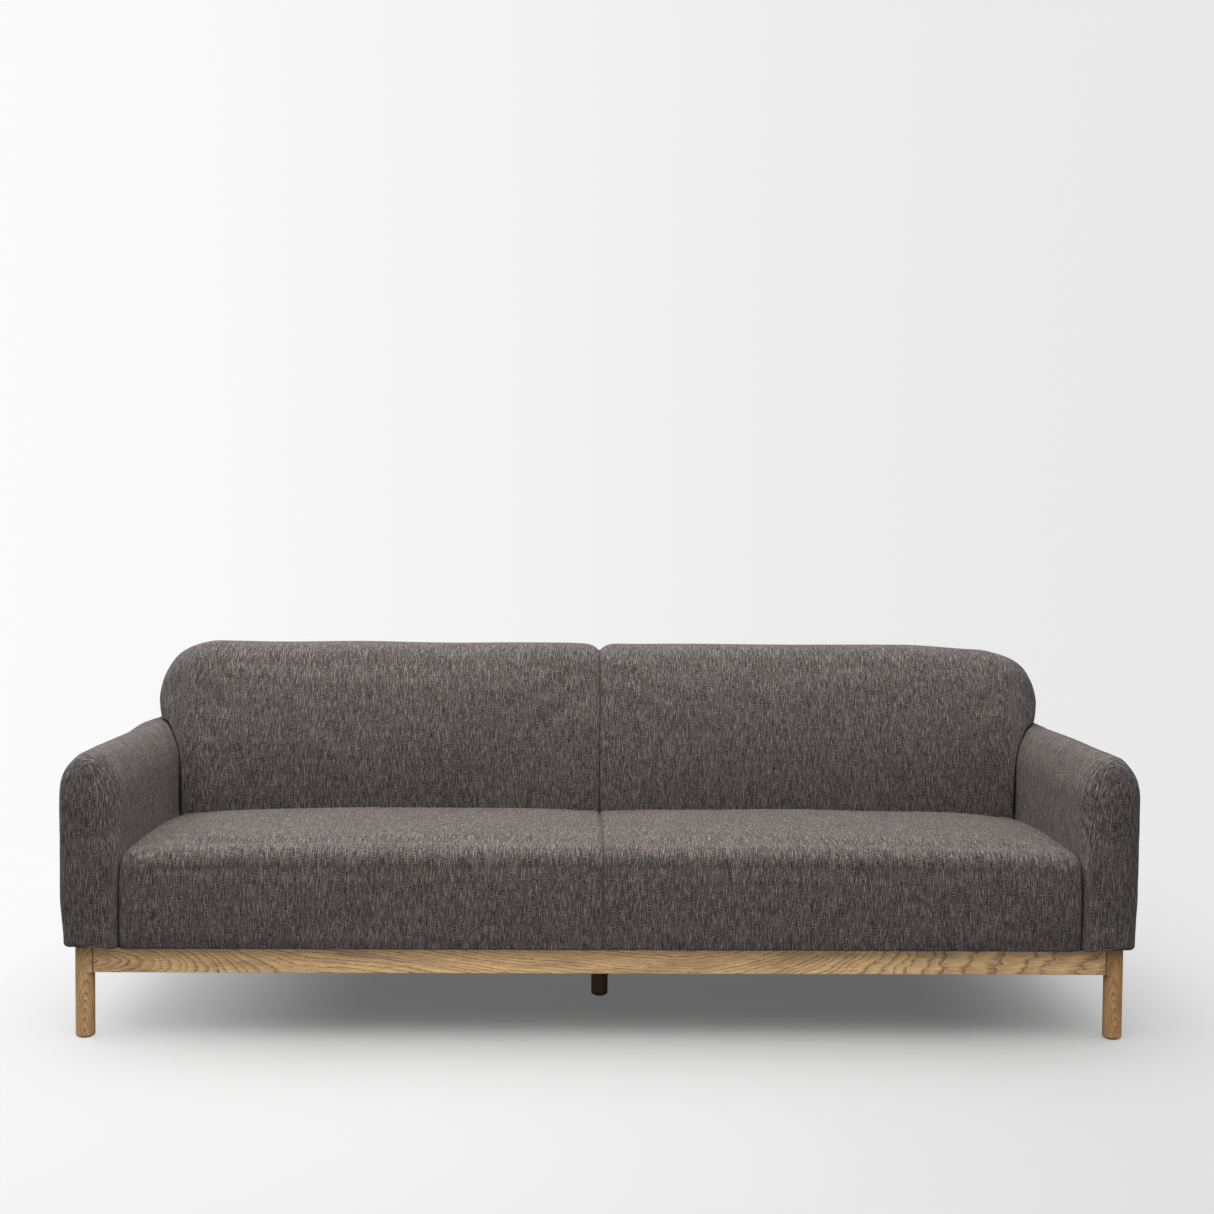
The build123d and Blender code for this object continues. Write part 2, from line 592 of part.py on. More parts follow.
def arm_outline(side, y, inset, foot, hem=0.0):
    """Cross-section of an arm: a slab with an oval top of two radii, drawn in by an inset all round."""
    half = ARM_THICKNESS / 2 - inset
    crown_radius = ARM_CROWN_RADIUS - inset
    crown_height = ARM_CROWN_HEIGHT - inset
    flank_radius = (half**2 + crown_height**2 - 2 * crown_height * crown_radius) / (2 * (half - crown_radius))
    flank_x = half - flank_radius
    crown_z = arm_spring_z + crown_height - crown_radius
    meet = atan2(crown_z - arm_spring_z, -flank_x)

    def on_flank(angle):
        return (flank_x + flank_radius * cos(angle), arm_spring_z + flank_radius * sin(angle))

    def on_crown(angle):
        return (crown_radius * cos(angle), crown_z + crown_radius * sin(angle))

    bend = hem * ARC_INSET
    with BuildSketch(Plane(origin=(side * arm_mid_x, y, 0), x_dir=(1, 0, 0), z_dir=(0, -1, 0))) as outline:
        with BuildLine():
            Line((0, foot), (half - hem, foot))
            if hem:
                ThreePointArc((half - hem, foot), (half - bend, foot + bend), (half, foot + hem))
            Line((half, foot + hem), (half, arm_spring_z))
            ThreePointArc((half, arm_spring_z), on_flank(meet / 2), on_flank(meet))
            ThreePointArc(on_flank(meet), on_crown((meet + pi / 2) / 2), on_crown(pi / 2))
            mirror(about=Plane.YZ)
        make_face()
    return outline.sketch


def arm_prism(side, inset, y, foot, mode=Mode.ADD):
    extrude(arm_outline(side, y[1], inset, foot), amount=y[1] - y[0], mode=mode)


def arm_end(side, y, towards, roll, steepest):
    """Rounded end of an arm: its outline drawn in along a roll, from a small end face to the full slab."""
    sections = []
    for step in range(ROLL_STEPS + 1):
        angle = steepest * step / ROLL_STEPS
        inset = roll * (1 - cos(angle))
        place = y + towards * roll * (sin(steepest) - sin(angle))
        sections.append(arm_outline(side, place, inset, body_z + inset * ARM_HEM_ROLL / roll, ARM_HEM_ROLL))
    loft(sections, ruled=True)


for side, sx in SIDES:
    with BuildPart() as arm_cover:
        nose_y = front_y + ARM_NOSE_ROLL * sin(ARM_END_TURN)
        tail_y = arm_rear_y - ARM_TAIL_ROLL * sin(ARM_END_TURN)
        arm_end(sx, front_y, 1, ARM_NOSE_ROLL, ARM_END_TURN)
        extrude(arm_outline(sx, tail_y, 0, body_z, ARM_HEM_ROLL), amount=tail_y - nose_y)
        arm_end(sx, arm_rear_y, -1, ARM_TAIL_ROLL, ARM_END_TURN)
        arm_prism(sx, ARM_WADDING, arm_core_y, body_z - THROUGH_CUT, Mode.SUBTRACT)
        bolt_slits(sx, seat_half, arm_mid_x)
    save(arm_cover, f"arm_cover_{side}")

    with BuildPart() as arm_foam:
        foam_y = (arm_core_y[0] + FOAM_FIT, arm_core_y[1] - FOAM_FIT)
        arm_prism(sx, ARM_WADDING + FOAM_FIT, foam_y, body_z)
        block((sx * arm_frame_inner_x, sx * arm_frame_outer_x), arm_frame_y,
              (body_z - THROUGH_CUT, arm_frame_top), Mode.SUBTRACT)
        bolt_slits(sx, seat_half, arm_mid_x)
    save(arm_foam, f"arm_foam_{side}")


def arm_rail_levels():
    return {"bottom": (body_z, body_z + ARM_BOTTOM_RAIL_HEIGHT),
            "top": (arm_frame_top - ARM_TOP_RAIL_HEIGHT, arm_frame_top)}


# Arm frames: two posts with two rails tenoned between them
for side, sx in SIDES:
    frame_x = (sx * arm_frame_inner_x, sx * arm_frame_outer_x)
    frame_mid_x = sum(frame_x) / 2
    shoulders = (arm_frame_y[0] + ARM_POST_WIDTH, arm_frame_y[1] - ARM_POST_WIDTH)
    tenon_ends = (shoulders[0] - ARM_TENON_LENGTH, shoulders[1] + ARM_TENON_LENGTH)
    for end, post_y in (("front", (arm_frame_y[0], shoulders[0])), ("rear", (shoulders[1], arm_frame_y[1]))):
        with BuildPart() as arm_post:
            block(frame_x, post_y, (body_z, arm_frame_top))
            for low, high in arm_rail_levels().values():
                block(around(frame_mid_x, ARM_TENON_THICKNESS / 2 + GLUE_FIT),
                      (tenon_ends[0] - GLUE_FIT, tenon_ends[1] + GLUE_FIT),
                      (low + ARM_TENON_SHOULDER - GLUE_FIT, high - ARM_TENON_SHOULDER + GLUE_FIT),
                      Mode.SUBTRACT)
        save(arm_post, f"arm_{end}_post_{side}")
    for level, (low, high) in arm_rail_levels().items():
        with BuildPart() as arm_rail:
            block(frame_x, shoulders, (low, high))
            block(around(frame_mid_x, ARM_TENON_THICKNESS / 2), tenon_ends,
                  (low + ARM_TENON_SHOULDER, high - ARM_TENON_SHOULDER))
            if level == "bottom":
                side_bolts = [place for place in body_bolt_places if place[0] * sx > 0]
                upright_rods(side_bolts, bolt_hole, body_z, body_z + BODY_BOLT_GRIP + BOLT_FIT,
                             Mode.SUBTRACT)
                sideways_rods(sx, arm_bolt_places, bolt_hole, arm_frame_inner_x,
                              arm_frame_inner_x + ARM_BOLT_GRIP + BOLT_FIT, Mode.SUBTRACT)
        save(arm_rail, f"arm_{level}_rail_{side}")

# Bolts from inside the seat box into the arm frames
with BuildPart() as arm_bolts:
    for _, sx in SIDES:
        head_face = frame_half - BOARD_THICKNESS
        tip = arm_frame_inner_x + ARM_BOLT_GRIP
        heads = hexagons(Plane.YZ.offset(sx * head_face), arm_bolt_places, BOLT_HEAD_ACROSS_FLATS)
        extrude(heads, amount=-sx * BOLT_HEAD_HEIGHT)
        sideways_rods(sx, arm_bolt_places, BOLT_DIAMETER / 2, head_face, tip)
save(arm_bolts, "arm_bolts")

# Back frame: three raked posts, tied by a board at the foot and a flat rail on their tenons at the top
post_x = {"left": board_places[0], "mid": board_places[1], "right": board_places[2]}
top_rail_top = top_rail_z + BACK_TOP_RAIL_THICKNESS
top_rail_y = (slope_y(top_rail_top, back_frame_depth) + BACK_TOP_RAIL_SETBACK, rear_frame_y)
top_tenon_y = around(sum(top_rail_y) / 2, BACK_POST_TENON_DEPTH / 2)
bottom_rail_z = (body_z, body_z + BACK_BOTTOM_RAIL_HEIGHT)

for name, x in post_x.items():
    with BuildPart() as back_post:
        with BuildSketch(Plane.YZ.offset(x - BOARD_THICKNESS / 2)):
            with BuildLine():
                Polyline(
                    (rear_board_y, body_z),
                    (rear_frame_y, body_z),
                    (rear_frame_y, top_rail_z),
                    (slope_y(top_rail_z, back_frame_depth), top_rail_z),
                    (rear_board_y, board_top),
                    close=True,
                )
            make_face()
        extrude(amount=BOARD_THICKNESS)
        block(around(x, BOARD_THICKNESS / 2), top_tenon_y, (top_rail_z, top_rail_z + BACK_POST_TENON))
        block(around(x, BOARD_THICKNESS), (rear_frame_y - BOARD_THICKNESS - GLUE_FIT, rear_frame_y),
              (body_z, bottom_rail_z[1] + GLUE_FIT), Mode.SUBTRACT)
    save(back_post, f"back_{name}_post")

with BuildPart() as back_top_rail:
    block(around(0, frame_half), top_rail_y, (top_rail_z, top_rail_top))
    for x in post_x.values():
        block(around(x, BOARD_THICKNESS / 2 + GLUE_FIT),
              (top_tenon_y[0] - GLUE_FIT, top_tenon_y[1] + GLUE_FIT),
              (top_rail_z, top_rail_z + BACK_POST_TENON + GLUE_FIT), Mode.SUBTRACT)
save(back_top_rail, "back_top_rail")

with BuildPart() as back_bottom_rail:
    block(around(0, frame_half), (rear_frame_y - BOARD_THICKNESS, rear_frame_y), bottom_rail_z)
save(back_bottom_rail, "back_bottom_rail")

with BuildPart() as back_webbing:
    slope_length = (top_rail_z - back_foot_z) / cos(lean)
    with BuildSketch(BACK_PLANE.offset(-back_foam_depth - FOAM_FIT)):
        for step in range(int(slope_length // BACK_WEBBING_PITCH)):
            with Locations((0, (step + 0.5) * BACK_WEBBING_PITCH)):
                Rectangle(2 * frame_half, WEBBING_WIDTH)
    extrude(amount=-WEBBING_THICKNESS)
save(back_webbing, "back_webbing")


def climb(z, depth):
    """How far up the slope of the back a level lies, on a plane at a depth behind its face."""
    return (z - back_foot_z + depth * sin(lean)) / cos(lean)


def back_core(side, fit, mode=Mode.ADD):
    """Foam of half the back with its wing over the arm or, grown by a fit, the pocket that it fills."""
    low = climb(pad_top + SOFT_GAP, back_foam_depth) - fit
    wing = climb(ARM_HEIGHT + BACK_WING_WADDING, back_foam_depth) - fit
    top = climb(OVERALL_HEIGHT - BACK_TOP_WADDING, BACK_WADDING) + fit
    inner = side * (BACK_SEAM_GAP / 2 + BACK_SEAM_WADDING - fit)
    waist = side * (frame_half + fit)
    outer = side * (back_half - BACK_END_WADDING + fit)
    corner = min(BACK_FOAM_CORNER, (top - wing) * FRONT_ROLL_SHARE)
    shoulder = outer - side * corner
    bend = corner * ARC_INSET
    with BuildSketch(BACK_PLANE.offset(fit - BACK_WADDING)) as outline:
        with BuildLine():
            Polyline((shoulder, top), (inner, top), (inner, low), (waist, low), (waist, wing), (outer, wing),
                     (outer, top - corner))
            ThreePointArc((outer, top - corner), (outer - side * bend, top - bend), (shoulder, top))
        make_face()
    extrude(outline.sketch, amount=-BACK_FOAM_THICKNESS - 2 * fit, mode=mode)


for side, sx in SIDES:
    with BuildPart() as back_foam:
        back_core(sx, 0)
        block(around(0, half_width), (front_y, back_y + BACK_FOOT_WADDING), (0, OVERALL_HEIGHT),
              Mode.SUBTRACT)
    save(back_foam, f"back_foam_{side}")

back_length = back_half - BACK_SEAM_GAP / 2


def back_section(side, along):
    """Outer form of one half of the back, at a distance from the middle seam along the sofa."""
    seam = rolled_edge(along, BACK_SEAM_ROLL) / BACK_SEAM_ROLL
    end = rolled_edge(back_length - along, back_end_roll)
    top = OVERALL_HEIGHT - rolled_edge(back_length - along, back_corner) - BACK_SEAM_DROP * seam
    foot_y = back_y + end + BACK_SEAM_INSET * seam
    rear = rear_y - end

    def face(z):
        return foot_y + (z - back_foot_z) * tan(lean)

    front_roll = min(BACK_FRONT_ROLL, (rear - face(top)) * FRONT_ROLL_SHARE)
    rear_roll = min(BACK_REAR_ROLL, (rear - face(top)) * REAR_ROLL_SHARE)
    face_top = top - front_roll * (1 - sin(lean))
    turn = (face(face_top) + front_roll * cos(lean), top - front_roll)
    halfway = 3 * pi / 4 - lean / 2
    middle = (back_foot_z + face_top) / 2
    bend = rear_roll * ARC_INSET
    with BuildSketch(Plane.YZ.offset(side * (along + BACK_SEAM_GAP / 2))) as outline:
        with BuildLine():
            Line((foot_y, body_z), (foot_y, back_foot_z))
            ThreePointArc((foot_y, back_foot_z), (face(middle) - BACK_CROWN, middle),
                          (face(face_top), face_top))
            ThreePointArc((face(face_top), face_top),
                          (turn[0] + front_roll * cos(halfway), turn[1] + front_roll * sin(halfway)),
                          (turn[0], top))
            Line((turn[0], top), (rear - rear_roll, top))
            ThreePointArc((rear - rear_roll, top), (rear - bend, top - bend), (rear, top - rear_roll))
            Line((rear, top - rear_roll), (rear, body_z))
            Line((rear, body_z), (foot_y, body_z))
        make_face()
    return outline.sketch


def back_frame_cavity(side):
    """Room behind the foam for the posts, webbing and top rail, open to the rear."""
    with BuildSketch(Plane.YZ.offset(-side * THROUGH_CUT)) as outline:
        with BuildLine():
            low = body_z - THROUGH_CUT
            Polyline(
                (slope_y(low, back_foam_depth), low),
                (rear_y + THROUGH_CUT, low),
                (rear_y + THROUGH_CUT, back_cavity_top),
                (slope_y(back_cavity_top, back_foam_depth), back_cavity_top),
                close=True,
            )
        make_face()
    extrude(outline.sketch, amount=side * (frame_half + FOAM_FIT + THROUGH_CUT), mode=Mode.SUBTRACT)


for side, sx in SIDES:
    with BuildPart() as back_cover:
        straight = back_length - BACK_SEAM_ROLL - back_corner
        arm_y = (back_y - THROUGH_CUT, rear_y + THROUGH_CUT)
        loft([back_section(sx, place) for place in roll_places(BACK_SEAM_ROLL)], ruled=True)
        extrude(back_section(sx, BACK_SEAM_ROLL), amount=sx * straight)
        loft([back_section(sx, back_length - place) for place in roll_places(back_corner)], ruled=True)
        arm_prism(sx, -SOFT_GAP, arm_y, body_z - THROUGH_CUT, Mode.SUBTRACT)
        back_core(sx, FOAM_FIT, Mode.SUBTRACT)
        back_frame_cavity(sx)
        block((-sx * THROUGH_CUT, sx * (frame_half + FOAM_FIT)), (back_y - THROUGH_CUT, rear_y),
              (body_z - THROUGH_CUT, pad_top + SOFT_GAP), Mode.SUBTRACT)
    save(back_cover, f"back_cover_{side}")

# Outside back: a covered panel let in flush between the covers
with BuildPart() as outside_back_panel:
    block(around(0, frame_half), (rear_frame_y, rear_y), (body_z, back_cavity_top - SOFT_GAP))
    fillet(outside_back_panel.faces().sort_by(Axis.Y)[-1].edges(), BACK_PANEL_EDGE_ROUND)
save(outside_back_panel, "outside_back_panel")
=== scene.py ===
import math

import bpy
import numpy as np
from mathutils import Matrix, Vector


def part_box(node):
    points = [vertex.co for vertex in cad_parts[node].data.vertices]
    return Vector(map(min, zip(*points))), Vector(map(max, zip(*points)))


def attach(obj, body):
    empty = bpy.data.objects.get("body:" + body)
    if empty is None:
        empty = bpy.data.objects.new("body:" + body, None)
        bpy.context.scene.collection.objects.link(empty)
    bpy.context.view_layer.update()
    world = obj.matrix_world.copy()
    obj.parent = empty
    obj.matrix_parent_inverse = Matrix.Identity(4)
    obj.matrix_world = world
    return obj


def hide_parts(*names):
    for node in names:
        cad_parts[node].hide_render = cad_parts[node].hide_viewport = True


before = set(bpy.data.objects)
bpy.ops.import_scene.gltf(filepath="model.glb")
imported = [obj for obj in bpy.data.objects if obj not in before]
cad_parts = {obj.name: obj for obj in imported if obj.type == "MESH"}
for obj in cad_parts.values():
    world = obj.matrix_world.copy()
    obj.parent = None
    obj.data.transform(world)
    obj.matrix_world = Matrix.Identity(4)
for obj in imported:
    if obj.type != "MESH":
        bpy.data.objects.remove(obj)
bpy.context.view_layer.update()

# Places in metres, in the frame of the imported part: the front faces -Y, X runs along, Z = 0 is the floor.
# A pair, such as those named HOLD or CALM, is two distances past an edge, where a thing starts and stops.
seat_low, seat_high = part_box("seat_cover")
arm_low, arm_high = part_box("arm_cover_right")
back_low, back_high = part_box("back_cover_right")
panel_low, panel_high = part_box("outside_back_panel")
body_z = seat_low[2]
front_y = arm_low[1]
rear_y = back_high[1]
back_y = back_low[1]
arm_inner_x = arm_low[0]
arm_outer_x = arm_high[0]
arm_middle_x = (arm_inner_x + arm_outer_x) / 2
arm_top = arm_high[2]
back_top = back_high[2]
back_end_x = back_high[0]

# The camera of the photograph
CAMERA_PLACE = (-0.0706, -3.9165, 1.0636)
CAMERA_YAW = math.radians(1.194)
CAMERA_PITCH = math.radians(2.464)
CAMERA_ROLL = math.radians(0.47)
CAMERA_LENS = 50.4
CAMERA_SENSOR = 36.0

# A cover starts slightly inside its form, and settles this far out, in and along it at most
SWELL_START = 0.004
SWELL_OUT = 0.009
SWELL_IN = 0.001
SWELL_ALONG = 0.003
SWELL_PRESSURE = 4.0
SWELL_FRAMES = 20
CLOTH_QUALITY = 4
CLOTH_MASS = 0.35
CLOTH_STRETCH = 25
CLOTH_SHEAR = 12
CLOTH_BEND = 3

# Seat
SEAT_STEP = 0.012
SEAT_FRONT_ROLL = 0.037
SEAT_FRONT_BULGE = 0.003
SEAT_HEM_ROLL = 0.012
SEAT_FRONT_FALL = 0.004
SEAT_REAR_FALL = 0.015
SEAT_SIDE_FALL = 0.012
SEAT_FALL_POWER = 4
SEAT_SIDE_ROLL = 0.024
SEAT_SIDE_STEPS = 6
SEAT_FACE_ROLL = 0.013
SEAM_OFFSETS = (0.0, 0.0015, 0.004, 0.008, 0.014, 0.022)
SEAT_SEAM_DEPTH = 0.010
SEAT_SEAM_WIDTH = 0.0032
SEAT_SEAM_SHARPNESS = 1.3
SEAT_SEAM_FACE_SHARE = 0.6
SEAT_SIDE_HOLD = (-0.012, -0.002)
SEAT_HEM_HOLD = (0.004, 0.016)
SEAT_REAR_HOLD = (-0.010, -0.002)
SEAT_SEAM_HOLD = (0.002, 0.006)
SEAT_FRONT_TIGHT = (0.03, 0.09)
SEAT_FRONT_ROOM = 0.12
SEAT_HEM_CALM = (0.01, 0.05)
SEAT_SIDE_CALM = (-0.06, -0.01)
SEAT_UNEVEN = 0.0022
SEAT_UNEVEN_SIZE = 0.34
SEAT_UNEVEN_SEED = 3.1
SEAT_RIPPLE_SIZE = 0.06
SEAT_RIPPLE_SEED = 8.7
RIPPLE = 0.0004

# Arms
ARM_CROWN_HEIGHT = 0.095
ARM_CROWN_RADIUS = 0.045
ARM_NOSE_ROLL = 0.042
ARM_NOSE_INNER_ROLL = 0.052
ARM_NOSE_SEAT_ROLL = 0.016
ARM_TAIL_ROLL = 0.020
ARM_HEM_ROLL = 0.011
ARM_NOSE_BULGE = 0.004
ARM_STEP = 0.013
ARM_END_TURN = math.radians(78)
ARM_TAIL_STEPS = 6
ARM_NOSE_STEPS = 12
ARM_FACE_COLUMNS = 8
ARM_FOOT_LIFT = 0.25
ARM_NOSE_INNER = (0.0, -0.05)
ARM_NOSE_SEAT = (-0.08, 0.04)
ARM_HEM_HOLD = (0.004, 0.018)
ARM_TAIL_HOLD = (0.02, 0.06)
ARM_SEAT_HOLD = (0.002, 0.010)
ARM_SEAT_HOLD_TOP = (-0.05, 0.0)
ARM_HEM_CALM = (0.01, 0.06)
ARM_UNEVEN = 0.0020
ARM_UNEVEN_SIZE = 0.30
ARM_RIPPLE_SIZE = 0.05
ARM_RIPPLE_SEED = 2
ARM_SHOULDER_LENGTH = 0.09
ARM_SHOULDER_ACROSS = (-0.005, 0.02)
ARM_SHOULDER_UP = (-0.08, -0.01)
ARM_BELLY_ACROSS = (0.03, 0.055)
ARM_BELLY_UP = (0.01, 0.12)
ARM_BESIDE_ACROSS = (-0.045, -0.058)
ARM_BESIDE_UP = (-0.05, -0.01)
ARM_BESIDE_FRONT = (0.015, 0.04)
ARM_BESIDE_SWELL = 0.003
# Swelling at the shoulder, depth of the pleats, belly on the outside, and seed of the unevenness
ARM_LOOSENESS = {"left": (0.006, 0.0024, 0.007, 5.3), "right": (0.0, 0.0014, 0.004, 9.1)}
# Small pleats where the cloth turns over the nose: place across the crest, slant inwards, strength and length
PLEATS = (
    (0.003, 0.02, 1.0, 0.060),
    (-0.010, 0.40, 0.40, 0.10),
    (-0.020, 0.75, 0.30, 0.12),
    (0.016, -0.30, 0.30, 0.09),
)
PLEAT_NOSE = (0.075, 0.03)
PLEAT_WIDTH = 0.0026
PLEAT_LIP = 0.4
PLEAT_LIP_PLACE = 0.006
PLEAT_LIP_WIDTH = 0.005
PLEAT_FULL_SHARE = 0.4

# Back
BACK_RECLINE = math.radians(11.0)
BACK_FOOT_DROP = 0.030
BACK_CORNER_RADIUS = 0.135
BACK_END_ROLL = 0.070
BACK_END_ROLL_SHARE = 0.4
BACK_END_TUCK = 0.17
BACK_TUCK_RISE = 0.012
BACK_TUCK_MOST = 0.016
BACK_TUCK_START = 0.012
BACK_TUCK_STOP = 0.004
# How much shorter an end is, how far its corner hangs, how full the corner is, and seed of the unevenness
BACK_END_SLACK = {"left": (0.006, 0.0, 0.003, 1.4), "right": (0.002, 0.010, 0.009, 6.6)}
BACK_SAG_ALONG = (-0.33, -0.12)
BACK_SAG_UP = (0.02, 0.13)
BACK_FULL_IN = 0.055
BACK_FULL_DOWN = 0.065
BACK_FULL_SPREAD = 0.055
BACK_FULL_FRONT = (0.10, 0.16)
BACK_FRONT_ROLL = 0.080
BACK_REAR_ROLL = 0.055
BACK_CROWN = 0.021
BACK_SEAM_DROP = 0.020
BACK_SEAM_REACH = 0.013
BACK_SEAM_INSET = 0.006
BACK_SEAM_FACE_REACH = 0.0032
BACK_SEAM_ROLL = 0.045
BACK_SEAM_STEPS = 9
BACK_SEAM_GAP = 0.0003
BACK_SEAM_SHUT = 0.00005
BACK_SEAM_SHUT_REACH = (0.0008, 0.003)
BACK_SEAM_SHUT_REAR = (-0.10, -0.06)
BACK_STEP = 0.013
BACK_WING_STEP = 0.008
BACK_WING_FOOT = 0.02
BACK_WING_STOP = 0.03
BACK_END_REACH = 0.025
BACK_END_STEPS = 7
BACK_SPLIT_DROP = 0.005
BACK_REAR_HOLD = (-0.02, -0.004)
BACK_FOOT_HOLD = (-0.06, -0.03)
BACK_SEAM_HOLD = (0.001, 0.010)
BACK_WAIST_HOLD = (-0.03, -0.005)
BACK_WAIST_HOLD_TOP = (-0.04, 0.02)
BACK_END_HOLD = (-0.05, -0.015)
BACK_SEAM_CALM = (0.02, 0.09)
BACK_REAR_CALM = (-0.05, -0.01)
BACK_UNEVEN = 0.0024
BACK_UNEVEN_SIZE = 0.36
BACK_PANEL_RECESS = 0.014
BACK_PANEL_RIM = (-0.001, 0.004)
BACK_PANEL_REAR = (-0.012, -0.004)
ARM_GAP = 0.002

# Outside back panel
PANEL_STEP = 0.03
PANEL_RIM = 0.002
PANEL_EDGE = 0.006
PANEL_BELLY = 0.003
PANEL_BELLY_REACH = 0.15

back_foot_z = seat_high[2] - BACK_FOOT_DROP
LEAN = math.tan(BACK_RECLINE)


ARC_POINTS = 24


def arc(start, middle, stop, count=ARC_POINTS):
    """Points along the circle through three points, from the first to the last."""
    (ax, ay), (bx, by), (cx, cy) = start, middle, stop
    across = 2 * (ax * (by - cy) + bx * (cy - ay) + cx * (ay - by))
    a, b, c = ax * ax + ay * ay, bx * bx + by * by, cx * cx + cy * cy
    centre_x = (a * (by - cy) + b * (cy - ay) + c * (ay - by)) / across
    centre_y = (a * (cx - bx) + b * (ax - cx) + c * (bx - ax)) / across
    radius = math.hypot(ax - centre_x, ay - centre_y)
    first = math.atan2(ay - centre_y, ax - centre_x)
    turn = 2 * math.pi
    half = (math.atan2(by - centre_y, bx - centre_x) - first) % turn
    sweep = (math.atan2(cy - centre_y, cx - centre_x) - first) % turn
    if half > sweep:
        sweep -= turn
    angles = first + sweep * np.linspace(0, 1, count)
    return np.stack([centre_x + radius * np.cos(angles), centre_y + radius * np.sin(angles)], axis=1)


def evenly(points, count):
    """A path's points, spaced evenly along it, without its last point."""
    points = np.asarray(points, dtype=float)
    steps = np.linalg.norm(np.diff(points, axis=0), axis=1)
    along = np.concatenate([[0.0], np.cumsum(steps)])
    places = np.linspace(0, along[-1], count + 1)[:-1]
    return np.stack([np.interp(places, along, points[:, axis]) for axis in range(2)], axis=1)


def rolled(reach, radius):
    """How far a rounded edge has fallen away, at a distance from where it ends."""
    return radius - math.sqrt(max(0.0, radius**2 - max(0.0, radius - reach) ** 2))


def smooth(low, high, value):
    """Rises smoothly from 0 at the first place to 1 at the second."""
    share = np.clip((value - low) / (high - low), 0.0, 1.0)
    return share * share * (3 - 2 * share)


def past(edge, reach, value):
    """Goes smoothly from 0 at a first distance past an edge to 1 at a second."""
    return smooth(edge + reach[0], edge + reach[1], value)


def roll_steps(roll, count):
    """Distances from an edge, close together where the roll there is steepest."""
    return [roll * (1 - math.cos(math.pi / 2 * step / count)) for step in range(count)]


def stations(start, stop, step):
    return list(np.linspace(start, stop, max(2, round((stop - start) / step) + 1)))


# Left-hand covers are cut from another stretch of the cloth
CUT_SHIFT = 3.173
CAP_SHARES = (0.75, 0.5, 0.25)


def volume(mesh):
    """Space inside a closed mesh, below zero where its faces look inwards."""
    mesh.calc_loop_triangles()
    corners = np.empty(len(mesh.loop_triangles) * 3, dtype=np.int32)
    mesh.loop_triangles.foreach_get("vertices", corners)
    a, b, c = (coordinates(mesh)[corners.reshape(-1, 3)[:, side]] for side in range(3))
    return float(np.sum(a * np.cross(b, c))) / 6


def show(name, data):
    """Puts a mesh, lamp or camera into the scene."""
    made = bpy.data.objects.new(name, data)
    bpy.context.scene.collection.objects.link(made)
    return made


def cloth_mesh(name, rings, top_index, caps, mirrored=False):
    """Closed skin through rings of points. Its UV map holds distances along the cloth, in metres."""
    rings = np.asarray(rings, dtype=float)
    count, size, _ = rings.shape
    looped = np.concatenate([rings, rings[:, :1]], axis=1)
    around_steps = np.linalg.norm(np.diff(looped, axis=1), axis=2)
    around = np.concatenate([np.zeros((count, 1)), np.cumsum(around_steps, axis=1)], axis=1)
    around -= around[:, top_index:top_index + 1]
    along_steps = np.linalg.norm(np.diff(looped, axis=0), axis=2)
    along = np.concatenate([np.zeros((1, size + 1)), np.cumsum(along_steps, axis=0)], axis=0)
    along[:] = along.mean(axis=1, keepdims=True)
    along += CUT_SHIFT if mirrored else 0.0
    points = [tuple(point) for ring in rings for point in ring]
    faces = []
    uvs = []
    for i in range(count - 1):
        for k in range(size):
            j = (k + 1) % size
            faces.append((i * size + k, i * size + j, (i + 1) * size + j, (i + 1) * size + k))
            for row, column in ((i, k), (i, k + 1), (i + 1, k + 1), (i + 1, k)):
                uvs.append((along[row, column], around[row, column]))
    for first, cap in zip((True, False), caps):
        base = 0 if first else (count - 1) * size
        cap(points, faces, uvs, list(range(base, base + size)), first)
    mesh = bpy.data.meshes.new(name)
    if mirrored:
        points = [(-x, y, z) for x, y, z in points]
    mesh.from_pydata(points, [], faces)
    layer = mesh.uv_layers.new(name="cloth")
    layer.data.foreach_set("uv", np.asarray(uvs, dtype=np.float32).ravel())
    if volume(mesh) < 0:
        mesh.flip_normals()
    mesh.shade_smooth()
    mesh.update()
    return show(name, mesh)


def add_face(faces, uvs, points, corners, first, flat):
    """Adds one face of a cap, wound to look outwards, with its place on a flat cut of cloth."""
    corners = tuple(corners if first is False else reversed(corners))
    faces.append(corners)
    for corner in corners:
        uvs.append((points[corner][flat[0]], points[corner][flat[1]]))


def hidden_cap(flat):
    """End that leans on its neighbour: rings that shrink to the middle."""
    def close(points, faces, uvs, ring, first):
        middle = np.mean([points[index] for index in ring], axis=0)
        outer = ring
        for share in CAP_SHARES:
            inner = []
            for index in ring:
                inner.append(len(points))
                points.append(tuple(middle + (np.asarray(points[index]) - middle) * share))
            for k in range(len(ring)):
                j = (k + 1) % len(ring)
                add_face(faces, uvs, points, (outer[k], outer[j], inner[j], inner[k]), first, flat)
            outer = inner
        centre = len(points)
        points.append(tuple(middle))
        for k in range(len(ring)):
            add_face(faces, uvs, points, (outer[k], outer[(k + 1) % len(ring)], centre), first, flat)
    return close


